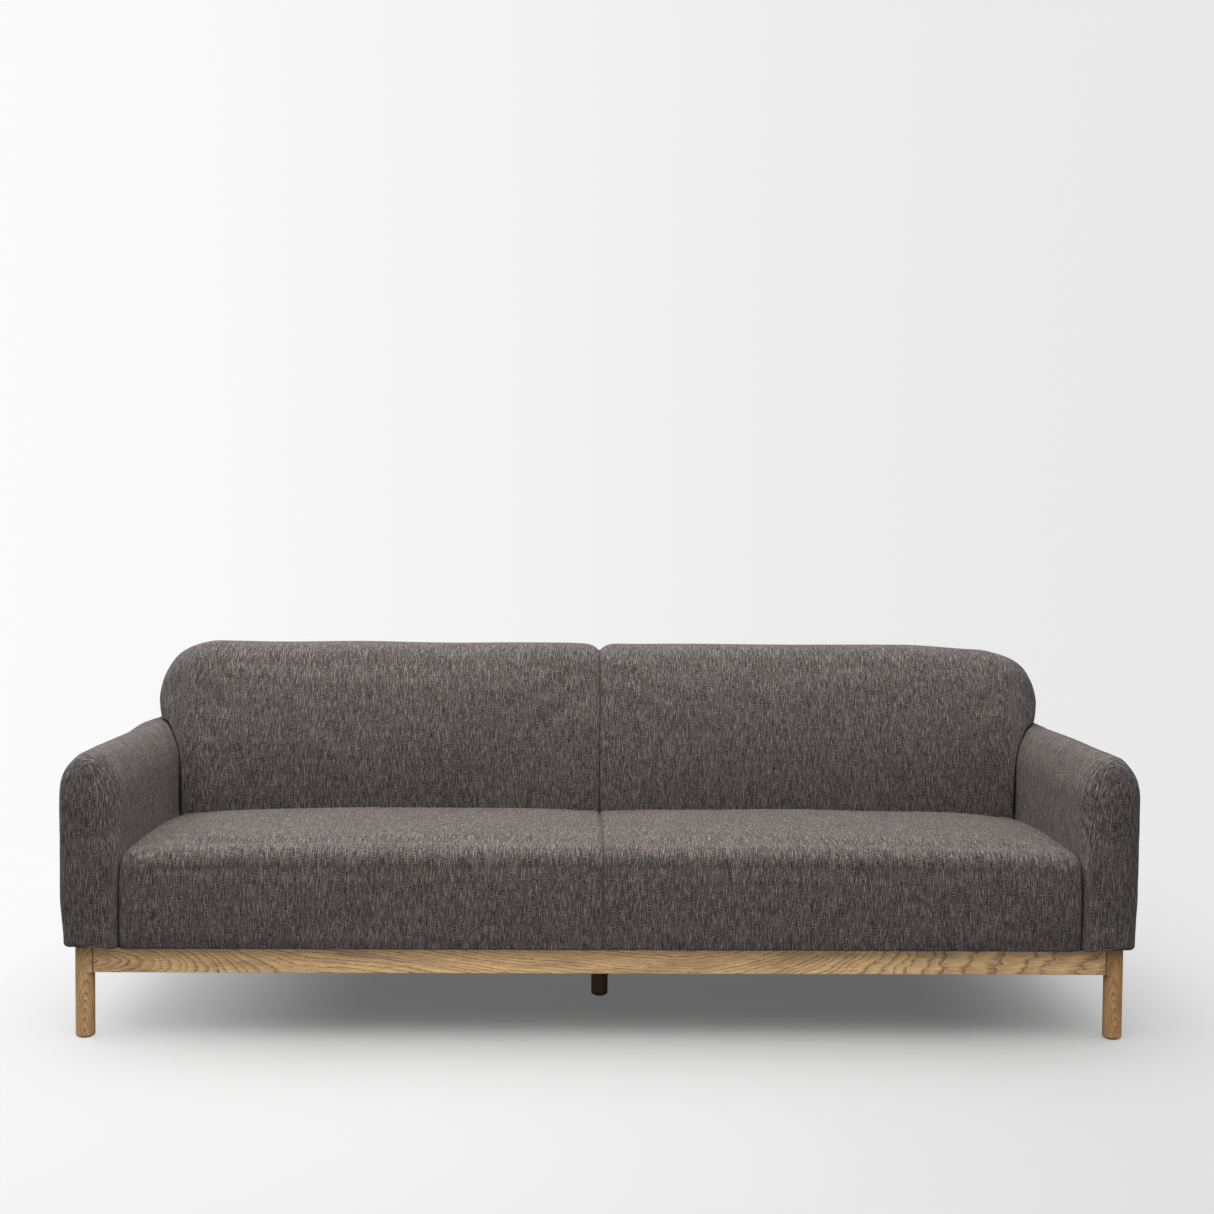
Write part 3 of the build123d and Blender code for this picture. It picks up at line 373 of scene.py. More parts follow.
def face_cap(flat, columns, swell):
    """Flat end that shows: rows of cloth across it, between the two sides of a symmetrical ring."""
    def close(points, faces, uvs, ring, first):
        half = len(ring) // 2
        rows = [[ring[0]]]
        for k in range(1, half):
            start, stop = np.asarray(points[ring[k]]), np.asarray(points[ring[-k]])
            row = [ring[k]]
            for column in range(1, columns):
                share = column / columns
                place = start + (stop - start) * share
                fullness = 4 * share * (1 - share) * min(1.0, 4 * k / half, 4 * (half - k) / half)
                row.append(len(points))
                points.append((place[0], place[1] + swell * fullness, place[2]))
            rows.append(row + [ring[-k]])
        rows.append([ring[half]])
        for low, high in zip(rows, rows[1:]):
            for column in range(columns):
                corners = []
                for row, place in ((low, column), (high, column), (high, column + 1), (low, column + 1)):
                    corner = row[min(place, len(row) - 1)]
                    if corner not in corners:
                        corners.append(corner)
                add_face(faces, uvs, points, corners, first, flat)
    return close


def coordinates(mesh, kind="co"):
    values = np.empty(len(mesh.vertices) * 3, dtype=np.float32)
    mesh.vertices.foreach_get(kind, values)
    return values.reshape(-1, 3).astype(float)


def normals(mesh):
    return coordinates(mesh, "normal")


def place_points(mesh, values):
    mesh.vertices.foreach_set("co", values.astype(np.float32).ravel())
    mesh.update()


def settle(piece, held, room=None):
    """Blows the stuffed cover up a little, as its filling does, from slightly inside its form.

    held gives for each point how firmly it is sewn or stapled down, from 0, free, to 1. room, where given, is
    the share of the usual swelling that a point may have."""
    mesh = piece.data
    form = coordinates(mesh)
    outward = normals(mesh)
    grip = held(*form.T)
    start = form - outward * (SWELL_START * (1 - grip))[:, None]
    place_points(mesh, start)
    group = piece.vertex_groups.new(name="held")
    for index, value in enumerate(grip):
        group.add([index], float(value), "REPLACE")
    cloth = piece.modifiers.new("cloth", "CLOTH")
    cloth.settings.quality = CLOTH_QUALITY
    cloth.settings.mass = CLOTH_MASS
    cloth.settings.tension_stiffness = CLOTH_STRETCH
    cloth.settings.compression_stiffness = CLOTH_STRETCH
    cloth.settings.shear_stiffness = CLOTH_SHEAR
    cloth.settings.bending_stiffness = CLOTH_BEND
    cloth.settings.use_pressure = True
    cloth.settings.uniform_pressure_force = SWELL_PRESSURE
    cloth.settings.vertex_group_mass = group.name
    cloth.settings.effector_weights.gravity = 0
    cloth.point_cache.frame_end = SWELL_FRAMES
    scene = bpy.context.scene
    for step in range(1, SWELL_FRAMES + 1):
        scene.frame_set(step)
    shown = piece.evaluated_get(bpy.context.evaluated_depsgraph_get())
    moved = coordinates(shown.to_mesh()) - form
    shown.to_mesh_clear()
    piece.modifiers.remove(cloth)
    piece.vertex_groups.remove(group)
    scene.frame_set(1)
    rise = np.sum(moved * outward, axis=1)
    slide = moved - outward * rise[:, None]
    share = np.minimum(1.0, SWELL_ALONG / np.maximum(np.linalg.norm(slide, axis=1), 1e-9))
    most = SWELL_OUT * (room(*form.T) if room else 1.0)
    place_points(mesh, form + outward * np.clip(rise, -SWELL_IN, most)[:, None] + slide * share[:, None])


def refine(piece):
    """Divides the settled cloth once more, smoothly."""
    divide = piece.modifiers.new("divide", "SUBSURF")
    divide.levels = 1
    divide.render_levels = 1
    divide.use_limit_surface = False
    shown = piece.evaluated_get(bpy.context.evaluated_depsgraph_get())
    finer = bpy.data.meshes.new_from_object(shown)
    piece.modifiers.remove(divide)
    coarse = piece.data
    piece.data = finer
    bpy.data.meshes.remove(coarse)
    finer.name = piece.name


def press(piece, depth):
    """Moves each point along its normal by what depth(x, y, z) says, in metres."""
    mesh = piece.data
    form = coordinates(mesh)
    place_points(mesh, form + normals(mesh) * depth(*form.T)[:, None])


WAVE_TURNS = ((1.0, 0.3, 0.2), (-0.4, 0.9, 0.5), (0.2, -0.6, 1.0), (0.7, 0.8, -0.6), (-0.9, 0.2, 0.7))


def unevenness(x, y, z, size, seed):
    """Slow rise and fall of hand-laid stuffing, between -1 and 1."""
    total = 0.0
    for number, (a, b, c) in enumerate(WAVE_TURNS):
        total = total + np.sin((a * x + b * y + c * z) * 2 * math.pi / size + seed * (number + 1))
    return total / len(WAVE_TURNS)


# Seat
seat_half = seat_high[0]
seat_front = seat_low[1]
seat_rear = seat_high[1]
seat_top = seat_high[2]
SEAT_COUNTS = (22, 10, 46, 10, 20)


def seat_ring(x):
    """Outline of the seat at a place along it: front face, roll, crowned top, hidden rear and foot."""
    reach = abs(x)
    roll = rolled(seat_half - reach, SEAT_SIDE_ROLL)
    seam = SEAT_SEAM_DEPTH * math.exp(-((reach / SEAT_SEAM_WIDTH) ** SEAT_SEAM_SHARPNESS))
    fall = SEAT_SIDE_FALL * (reach / seat_half) ** SEAT_FALL_POWER
    top = seat_top - fall - roll - seam
    face = seat_front + SEAT_FRONT_BULGE + rolled(seat_half - reach, SEAT_FACE_ROLL)
    face += seam * SEAT_SEAM_FACE_SHARE
    front_top = top - SEAT_FRONT_FALL
    bend = SEAT_FRONT_ROLL * (1 - math.sqrt(0.5))
    hem_top = body_z + SEAT_HEM_ROLL
    chin = front_top - SEAT_FRONT_ROLL
    hem_in = face + SEAT_FRONT_BULGE
    crown_y = (face + SEAT_FRONT_ROLL + seat_rear) / 2
    paths = (
        np.concatenate([[(hem_in, body_z)],
                        arc((face, hem_top), (face - SEAT_FRONT_BULGE, (hem_top + chin) / 2), (face, chin))]),
        arc((face, chin), (face + bend, front_top - bend), (face + SEAT_FRONT_ROLL, front_top)),
        arc((face + SEAT_FRONT_ROLL, front_top), (crown_y, top), (seat_rear, top - SEAT_REAR_FALL)),
        [(seat_rear, top - SEAT_REAR_FALL), (seat_rear, body_z)],
        [(seat_rear, body_z), (hem_in, body_z)],
    )
    outline = np.concatenate([evenly(path, count) for path, count in zip(paths, SEAT_COUNTS)])
    return [(x, y, z) for y, z in outline]


def make_seat():
    right = list(SEAM_OFFSETS)
    right += stations(SEAM_OFFSETS[-1] + SEAT_STEP, seat_half - SEAT_SIDE_ROLL - SEAT_STEP / 2, SEAT_STEP)
    right += [seat_half - reach for reach in reversed(roll_steps(SEAT_SIDE_ROLL, SEAT_SIDE_STEPS))]
    places = [-x for x in reversed(right[1:])] + right
    cap = hidden_cap((1, 2))
    seat = cloth_mesh("seat_upholstery", [seat_ring(x) for x in places], SEAT_COUNTS[0], (cap, cap))

    def held(x, y, z):
        sides = past(seat_half, SEAT_SIDE_HOLD, abs(x))
        foot = 1 - past(body_z, SEAT_HEM_HOLD, z)
        rear = past(seat_rear, SEAT_REAR_HOLD, y)
        seam = 1 - smooth(*SEAT_SEAM_HOLD, abs(x))
        return np.maximum.reduce([sides, foot, rear, seam])

    def room(x, y, z):
        return SEAT_FRONT_ROOM + (1 - SEAT_FRONT_ROOM) * past(seat_front, SEAT_FRONT_TIGHT, y)

    settle(seat, held, room)
    refine(seat)

    def depth(x, y, z):
        free = past(body_z, SEAT_HEM_CALM, z) * (1 - past(seat_half, SEAT_SIDE_CALM, abs(x)))
        uneven = free * SEAT_UNEVEN * unevenness(x, y, z, SEAT_UNEVEN_SIZE, SEAT_UNEVEN_SEED)
        return uneven + RIPPLE * unevenness(x, y, z, SEAT_RIPPLE_SIZE, SEAT_RIPPLE_SEED)

    press(seat, depth)
    return seat


# Arms
ARM_COUNTS = (12, 8, 26, 34)


def arm_edge(inset):
    """Half width, crown and flank of an arm's oval top, drawn in by an inset."""
    half = (arm_outer_x - arm_inner_x) / 2 - inset
    crown_radius = ARM_CROWN_RADIUS - inset
    crown_height = ARM_CROWN_HEIGHT - inset
    flank = (half**2 + crown_height**2 - 2 * crown_height * crown_radius) / (2 * (half - crown_radius))
    spring = arm_top - ARM_CROWN_HEIGHT
    crown_z = spring + crown_height - crown_radius
    meet = math.atan2(crown_z - spring, flank - half)
    return half, crown_radius, flank, spring, crown_z, meet


def arm_half_outline(inset, foot):
    """Right half of an arm's outline, from under its middle up to its crest."""
    half, crown_radius, flank, spring, crown_z, meet = arm_edge(inset)
    bend = ARM_HEM_ROLL * (1 - math.sqrt(0.5))
    angles = np.linspace(0, meet, ARC_POINTS)
    side = np.stack([half - flank + flank * np.cos(angles), spring + flank * np.sin(angles)], axis=1)
    angles = np.linspace(meet, math.pi / 2, ARC_POINTS)
    crown = np.stack([crown_radius * np.cos(angles), crown_z + crown_radius * np.sin(angles)], axis=1)
    paths = (
        [(0, foot), (half - ARM_HEM_ROLL, foot)],
        arc((half - ARM_HEM_ROLL, foot), (half - bend, foot + bend), (half, foot + ARM_HEM_ROLL)),
        [(half, foot + ARM_HEM_ROLL), (half, spring)],
        np.concatenate([side, crown]),
    )
    return np.concatenate([evenly(path, count) for path, count in zip(paths, ARM_COUNTS)] + [crown[-1:]])


def arm_outline(inset):
    """Whole outline about the arm's middle line, from under it, up its outer side and down its inner side."""
    outer = arm_half_outline(inset, body_z + inset * ARM_FOOT_LIFT)
    return np.concatenate([outer, outer[-2:0:-1] * (-1, 1)])


def arm_ring(y, inset=0.0):
    return [(arm_middle_x + x, y, z) for x, z in arm_outline(inset)]


def nose_ring(angle):
    """Outline part way round the nose. Its roll is large on the inner side, but small beside the seat."""
    across, up = arm_outline(0.0).T
    inner = smooth(*ARM_NOSE_INNER, across)
    beside_seat = 1 - past(seat_top, ARM_NOSE_SEAT, up)
    upper_roll = ARM_NOSE_ROLL + (ARM_NOSE_INNER_ROLL - ARM_NOSE_ROLL) * inner
    roll = upper_roll + (ARM_NOSE_SEAT_ROLL - upper_roll) * inner * beside_seat
    least, most = ARM_NOSE_SEAT_ROLL, ARM_NOSE_INNER_ROLL
    share = ((roll - least) / (most - least))[:, None]
    turned = 1 - math.cos(angle)
    outline = arm_outline(least * turned) * (1 - share) + arm_outline(most * turned) * share
    places = front_y + ARM_NOSE_BULGE + roll * (1 - math.sin(angle))
    return [(arm_middle_x + x, y, z) for (x, z), y in zip(outline, places)]


def make_arm(side):
    turn = ARM_END_TURN
    rings = []
    tail_y = arm_high[1]
    for step in range(ARM_TAIL_STEPS):
        angle = turn * (1 - step / ARM_TAIL_STEPS)
        rings.append(arm_ring(tail_y - ARM_TAIL_ROLL * (math.sin(turn) - math.sin(angle)),
                              ARM_TAIL_ROLL * (1 - math.cos(angle))))
    tail_end = tail_y - ARM_TAIL_ROLL * math.sin(turn)
    nose_end = front_y + ARM_NOSE_BULGE + ARM_NOSE_INNER_ROLL + ARM_STEP
    rings += [arm_ring(y) for y in reversed(stations(nose_end, tail_end, ARM_STEP))]
    rings += [nose_ring(turn * step / ARM_NOSE_STEPS) for step in range(ARM_NOSE_STEPS + 1)]
    caps = [face_cap((0, 2), ARM_FACE_COLUMNS, swell) for swell in (0.0, -ARM_NOSE_BULGE)]
    arm = cloth_mesh(f"arm_upholstery_{side}", rings, len(rings[0]) // 2, caps, mirrored=side == "left")

    def held(x, y, z):
        foot = 1 - past(body_z, ARM_HEM_HOLD, z)
        tail = past(back_y, ARM_TAIL_HOLD, y)
        seat = (1 - past(arm_inner_x, ARM_SEAT_HOLD, abs(x))) * (1 - past(seat_top, ARM_SEAT_HOLD_TOP, z))
        return np.maximum.reduce([foot, tail, seat])

    settle(arm, held)
    refine(arm)
    swell, pleat, belly, seed = ARM_LOOSENESS[side]

    def depth(x, y, z):
        across = abs(x) - arm_middle_x
        free = past(body_z, ARM_HEM_CALM, z)
        uneven = free * ARM_UNEVEN * unevenness(x, y, z, ARM_UNEVEN_SIZE, seed)
        uneven += RIPPLE * unevenness(x, y, z, ARM_RIPPLE_SIZE, seed + ARM_RIPPLE_SEED)
        shoulder = np.exp(-(((y - back_y) / ARM_SHOULDER_LENGTH) ** 2)) * smooth(*ARM_SHOULDER_ACROSS, across)
        shoulder *= past(arm_top, ARM_SHOULDER_UP, z)
        low = arm_top - z
        nose = past(front_y, PLEAT_NOSE, y)
        outside = smooth(*ARM_BELLY_ACROSS, across) * past(body_z, ARM_BELLY_UP, z)
        beside = smooth(*ARM_BESIDE_ACROSS, across) * (1 - past(seat_top, ARM_BESIDE_UP, z))
        beside *= past(front_y, ARM_BESIDE_FRONT, y)
        total = uneven * (1 - beside) + swell * shoulder + belly * outside + ARM_BESIDE_SWELL * beside
        for place, slant, strength, length in PLEATS:
            line = across - place + slant * low
            lip = PLEAT_LIP * np.exp(-(((line - PLEAT_LIP_PLACE) / PLEAT_LIP_WIDTH) ** 2))
            ridge = np.exp(-((line / PLEAT_WIDTH) ** 2)) - lip
            total -= pleat * strength * nose * ridge * (1 - smooth(PLEAT_FULL_SHARE * length, length, low))
        return total

    press(arm, depth)
    return arm


# Back
BACK_COUNTS = (24, 34, 16, 18, 26, 14)
BACK_FACE_POINTS = 60
back_length = back_end_x - BACK_SEAM_GAP
back_end_depth = rear_y - back_y - (back_top - BACK_CORNER_RADIUS - back_foot_z) * LEAN
back_end_roll = min(BACK_END_ROLL, BACK_END_ROLL_SHARE * back_end_depth)


def arm_crest(x):
    """Level of the top of an arm, under the wing of the back."""
    half, crown_radius, flank, spring, crown_z, meet = arm_edge(-ARM_GAP)
    reach = min(abs(x - arm_middle_x), half)
    if reach < crown_radius * math.cos(meet):
        return crown_z + math.sqrt(crown_radius**2 - reach**2)
    return spring + math.sqrt(max(0.0, flank**2 - (reach + flank - half) ** 2))


def back_ring(along):
    """Outline of half the back at a distance from the middle seam. Past the seat it stands on the arm."""
    x = along + BACK_SEAM_GAP
    end = rolled(back_length - along, back_end_roll)
    top = back_top - rolled(back_length - along, BACK_CORNER_RADIUS)
    top -= BACK_SEAM_DROP * math.exp(-along / BACK_SEAM_REACH)
    foot_y = back_y + end + BACK_SEAM_INSET * math.exp(-along / BACK_SEAM_FACE_REACH)
    rear = rear_y - end

    def face(z):
        return foot_y + (z - back_foot_z) * LEAN

    thickness = rear - face(top)
    front_roll = min(BACK_FRONT_ROLL, thickness / 2)
    rear_roll = min(BACK_REAR_ROLL, thickness / 3)
    face_top = top - front_roll * (1 - math.sin(BACK_RECLINE))
    turn_y, turn_z = face(face_top) + front_roll * math.cos(BACK_RECLINE), top - front_roll
    halfway = 3 * math.pi / 4 - BACK_RECLINE / 2
    middle = (back_foot_z + face_top) / 2
    slope = arc((foot_y, back_foot_z), (face(middle) - BACK_CROWN, middle), (face(face_top), face_top),
                BACK_FACE_POINTS)
    front_bend = arc((face(face_top), face_top),
                     (turn_y + front_roll * math.cos(halfway), turn_z + front_roll * math.sin(halfway)),
                     (turn_y, top))
    bend = rear_roll * (1 - math.sqrt(0.5))
    rear_bend = arc((rear - rear_roll, top), (rear - bend, top - bend), (rear, top - rear_roll))
    on_arm = x > arm_inner_x - ARM_GAP / 2
    split = arm_crest(x) if on_arm else arm_top - ARM_CROWN_HEIGHT
    split = min(split, face_top - BACK_SPLIT_DROP)
    face_y = np.interp(split, slope[:, 1], slope[:, 0])
    upper_face = np.concatenate([[(face_y, split)], slope[slope[:, 1] > split], front_bend[1:]])
    deep = (face_y + rear) / 2
    if on_arm:
        lower_front = [(deep - BACK_WING_FOOT, split), (face_y, split)]
        lower_rear = [(rear, split), (deep + BACK_WING_FOOT, split)]
        foot = [(deep + BACK_WING_FOOT, split), (deep - BACK_WING_FOOT, split)]
    else:
        lower_front = np.concatenate([[(foot_y, body_z)], slope[slope[:, 1] < split], [(face_y, split)]])
        lower_rear = [(rear, split), (rear, body_z)]
        foot = [(rear, body_z), (foot_y, body_z)]
    paths = (lower_front, upper_face, [(turn_y, top), (rear - rear_roll, top)],
             np.concatenate([rear_bend, [(rear, split)]]), lower_rear, foot)
    outline = np.concatenate([evenly(path, count) for path, count in zip(paths, BACK_COUNTS)])
    return [(x, y, z) for y, z in outline]


def make_back(side):
    waist = arm_inner_x - ARM_GAP - BACK_SEAM_GAP
    wing = arm_inner_x - BACK_SEAM_GAP
    places = roll_steps(BACK_SEAM_ROLL, BACK_SEAM_STEPS)
    places += stations(BACK_SEAM_ROLL, waist, BACK_STEP)
    places += stations(wing, back_length - BACK_WING_STOP, BACK_WING_STEP)
    places += [back_length - reach for reach in reversed(roll_steps(BACK_END_REACH, BACK_END_STEPS))]
    cap = hidden_cap((1, 2))
    top_index = BACK_COUNTS[0] + BACK_COUNTS[1]
    rings = [back_ring(along) for along in places]
    back = cloth_mesh(f"back_upholstery_{side}", rings, top_index, (cap, cap), mirrored=side == "left")

    def held(x, y, z):
        x = abs(x)
        rear = past(rear_y, BACK_REAR_HOLD, y)
        foot = 1 - past(seat_top, BACK_FOOT_HOLD, z)
        seam = 1 - smooth(*BACK_SEAM_HOLD, x)
        waist = past(arm_inner_x, BACK_WAIST_HOLD, x) * (1 - past(arm_top, BACK_WAIST_HOLD_TOP, z))
        end = past(back_end_x, BACK_END_HOLD, x)
        return np.maximum.reduce([rear, foot, seam, waist, end])

    settle(back, held)
    refine(back)
    shorter, droop, fullness, seed = BACK_END_SLACK[side]
    form = coordinates(back.data)
    x, y, z = form.T
    below = np.maximum(0.0, back_top - BACK_CORNER_RADIUS + BACK_TUCK_RISE - z)
    tuck = np.minimum(below**2 / (2 * BACK_END_TUCK), BACK_TUCK_MOST) + shorter
    tuck *= smooth(arm_inner_x + BACK_TUCK_START, back_end_x - BACK_TUCK_STOP, abs(x))
    sag = droop * past(back_end_x, BACK_SAG_ALONG, abs(x)) * past(arm_top, BACK_SAG_UP, z)
    form[:, 0] -= np.sign(x) * tuck
    form[:, 2] -= sag
    shut = (1 - smooth(*BACK_SEAM_SHUT_REACH, abs(x))) * past(rear_y, BACK_SEAM_SHUT_REAR, y)
    form[:, 0] -= np.sign(x) * (abs(x) - BACK_SEAM_SHUT) * shut
    place_points(back.data, form)

    def depth(x, y, z):
        across = x
        x = abs(x)
        recess = 1 - past(panel_high[0], BACK_PANEL_RIM, x)
        recess *= 1 - past(panel_high[2], BACK_PANEL_RIM, z)
        recess *= past(rear_y, BACK_PANEL_REAR, y)
        free = smooth(*BACK_SEAM_CALM, x) * (1 - past(rear_y, BACK_REAR_CALM, y))
        aside = (x - back_end_x + BACK_FULL_IN) / BACK_FULL_SPREAD
        above = (z - back_top + BACK_FULL_DOWN) / BACK_FULL_SPREAD
        corner = np.exp(-(aside**2) - above**2) * (1 - past(back_y, BACK_FULL_FRONT, y))
        uneven = free * (1 - corner) * BACK_UNEVEN * unevenness(across, y, z, BACK_UNEVEN_SIZE, seed)
        return uneven + fullness * corner - BACK_PANEL_RECESS * recess

    press(back, depth)
    return back


def make_outside_panel():
    """Covered panel let into the rear of the back, with soft edges and a slight belly."""
    def lines(low, high):
        """Places of the cloth's rows, closer together at the two edges."""
        edges = [low + PANEL_RIM, low + PANEL_EDGE, high - PANEL_RIM, high - PANEL_EDGE]
        return sorted(stations(low, high, PANEL_STEP) + edges)

    across = lines(panel_low[0], panel_high[0])
    up = lines(panel_low[2], panel_high[2])
    points = []
    faces = []
    rows, columns = len(up), len(across)
    for inner_side in (False, True):
        for z in up:
            for x in across:
                reach = min(x - panel_low[0], panel_high[0] - x, z - panel_low[2], panel_high[2] - z)
                belly = PANEL_BELLY * smooth(0, PANEL_BELLY_REACH, reach)
                high = panel_high[1] - PANEL_BELLY - rolled(reach, PANEL_EDGE) + belly
                points.append((x, panel_low[1] if inner_side else high, z))
    for i in range(rows - 1):
        for k in range(columns - 1):
            corners = (i * columns + k, (i + 1) * columns + k, (i + 1) * columns + k + 1, i * columns + k + 1)
            faces.append(corners)
            faces.append(tuple(rows * columns + corner for corner in reversed(corners)))
    rim = list(range(columns))
    rim += [i * columns + columns - 1 for i in range(1, rows)]
    rim += [(rows - 1) * columns + k for k in range(columns - 2, -1, -1)]
    rim += [i * columns for i in range(rows - 2, 0, -1)]
    for a, b in zip(rim, rim[1:] + rim[:1]):
        faces.append((a, b, rows * columns + b, rows * columns + a))
    mesh = bpy.data.meshes.new("outside_back_upholstery")
    mesh.from_pydata(points, [], faces)
    layer = mesh.uv_layers.new(name="cloth")
    for loop in mesh.loops:
        x, y, z = points[loop.vertex_index]
        layer.data[loop.index].uv = (x, z)
    mesh.shade_smooth()
    return show(mesh.name, mesh)


class Graph:
    """Short way to wire the nodes of a material or of the world."""

    def __init__(self, holder):
        self.holder = holder
        holder.use_nodes = True
        self.tree = holder.node_tree
        self.shader = self.tree.nodes.get("Principled BSDF")

    def node(self, kind, **settings):
        made = self.tree.nodes.new(kind)
        for name, value in settings.items():
            setattr(made, name, value)
        return made

    def feed(self, socket, value):
        if isinstance(value, bpy.types.NodeSocket):
            self.tree.links.new(value, socket)
        else:
            socket.default_value = value

    def math(self, operation, *values):
        made = self.node("ShaderNodeMath", operation=operation)
        for socket, value in zip(made.inputs, values):
            self.feed(socket, value)
        return made.outputs[0]

    def times(self, first, second):
        return self.math("MULTIPLY", first, second)

    def vector(self, x, y, z=0.0):
        made = self.node("ShaderNodeCombineXYZ")
        for socket, value in zip(made.inputs, (x, y, z)):
            self.feed(socket, value)
        return made.outputs[0]

    def parts(self, vector):
        made = self.node("ShaderNodeSeparateXYZ")
        self.feed(made.inputs[0], vector)
        return tuple(made.outputs)

    def noise(self, vector, scale=1.0, detail=1.0, roughness=0.5):
        made = self.node("ShaderNodeTexNoise")
        self.feed(made.inputs["Vector"], vector)
        for name, value in (("Scale", scale), ("Detail", detail), ("Roughness", roughness)):
            made.inputs[name].default_value = value
        return made.outputs[0]

    def span(self, value, low, high, to_low=0.0, to_high=1.0):
        """Maps a range to another, smoothly and clamped."""
        made = self.node("ShaderNodeMapRange", interpolation_type="SMOOTHSTEP")
        for socket, given in zip(made.inputs, (value, low, high, to_low, to_high)):
            self.feed(socket, given)
        return made.outputs[0]

    def mix(self, factor, first, second):
        made = self.node("ShaderNodeMix", data_type="RGBA")
        self.feed(made.inputs[0], factor)
        for socket, colour in ((made.inputs[6], first), (made.inputs[7], second)):
            self.feed(socket, colour)
        return made.outputs[2]

    def blend(self, factor, first, second):
        """Mixes two shaders."""
        made = self.node("ShaderNodeMixShader")
        for socket, value in zip(made.inputs, (factor, first, second)):
            self.feed(socket, value)
        return made.outputs[0]

    def bump(self, height, strength, distance):
        made = self.node("ShaderNodeBump")
        made.inputs["Strength"].default_value = strength
        made.inputs["Distance"].default_value = distance
        self.feed(made.inputs["Height"], height)
        self.feed(self.shader.inputs["Normal"], made.outputs[0])

    def surface(self, **values):
        for name, value in values.items():
            self.feed(self.shader.inputs[name.replace("_", " ")], value)
        return self.holder


def srgb(red, green, blue):
    """Linear colour of an 8-bit one."""
    def linear(value):
        share = value / 255
        return share / 12.92 if share <= 0.04045 else ((share + 0.055) / 1.055) ** 2.4
    return (linear(red), linear(green), linear(blue), 1.0)


# Cloth: plain weave with slubs in its threads, longer in those that run up the sofa
WARP_PITCH = 0.0013
WEFT_PITCH = 0.0013
WARP_SLUB = 0.017
WEFT_SLUB = 0.010
FINE_PITCH = 0.0009
FINE_SLUB = 0.018
YARN_PITCH = 0.0024
YARN_SLUB = 0.040
TINT_SLUB = 0.03
WARP_SHARE = 0.34
FINE_SHARE = 0.48
YARN_SHARE = 0.18
WARP_OVER_WEFT = 0.64
# Steps from thread to thread through the noise, long enough for neighbours to differ
WARP_STEP = 7.31
WEFT_STEP = 5.77
SINGLE_STEP = 3.73
TINT_STEP = 3.17
CLOUD_SCALE = 9.0
CLOUD_DEPTH = 0.03
SLUB_STRENGTH = 0.9
CROSSING_STRENGTH = 0.6
TINT_STRENGTH = 0.30
CLOTH_SHADE = srgb(25, 24, 25)
CLOTH_TONE = srgb(97, 91, 89)
CLOTH_SLUB = srgb(138, 129, 125)
CLOTH_GAP = srgb(15, 15, 16)
CLOTH_CROSSING = srgb(125, 117, 114)
CLOTH_OLIVE = srgb(86, 80, 66)
CLOTH_VIOLET = srgb(80, 72, 82)
CLOTH_SHEEN = srgb(225, 214, 208)
CLOTH_RELIEF = 0.0004


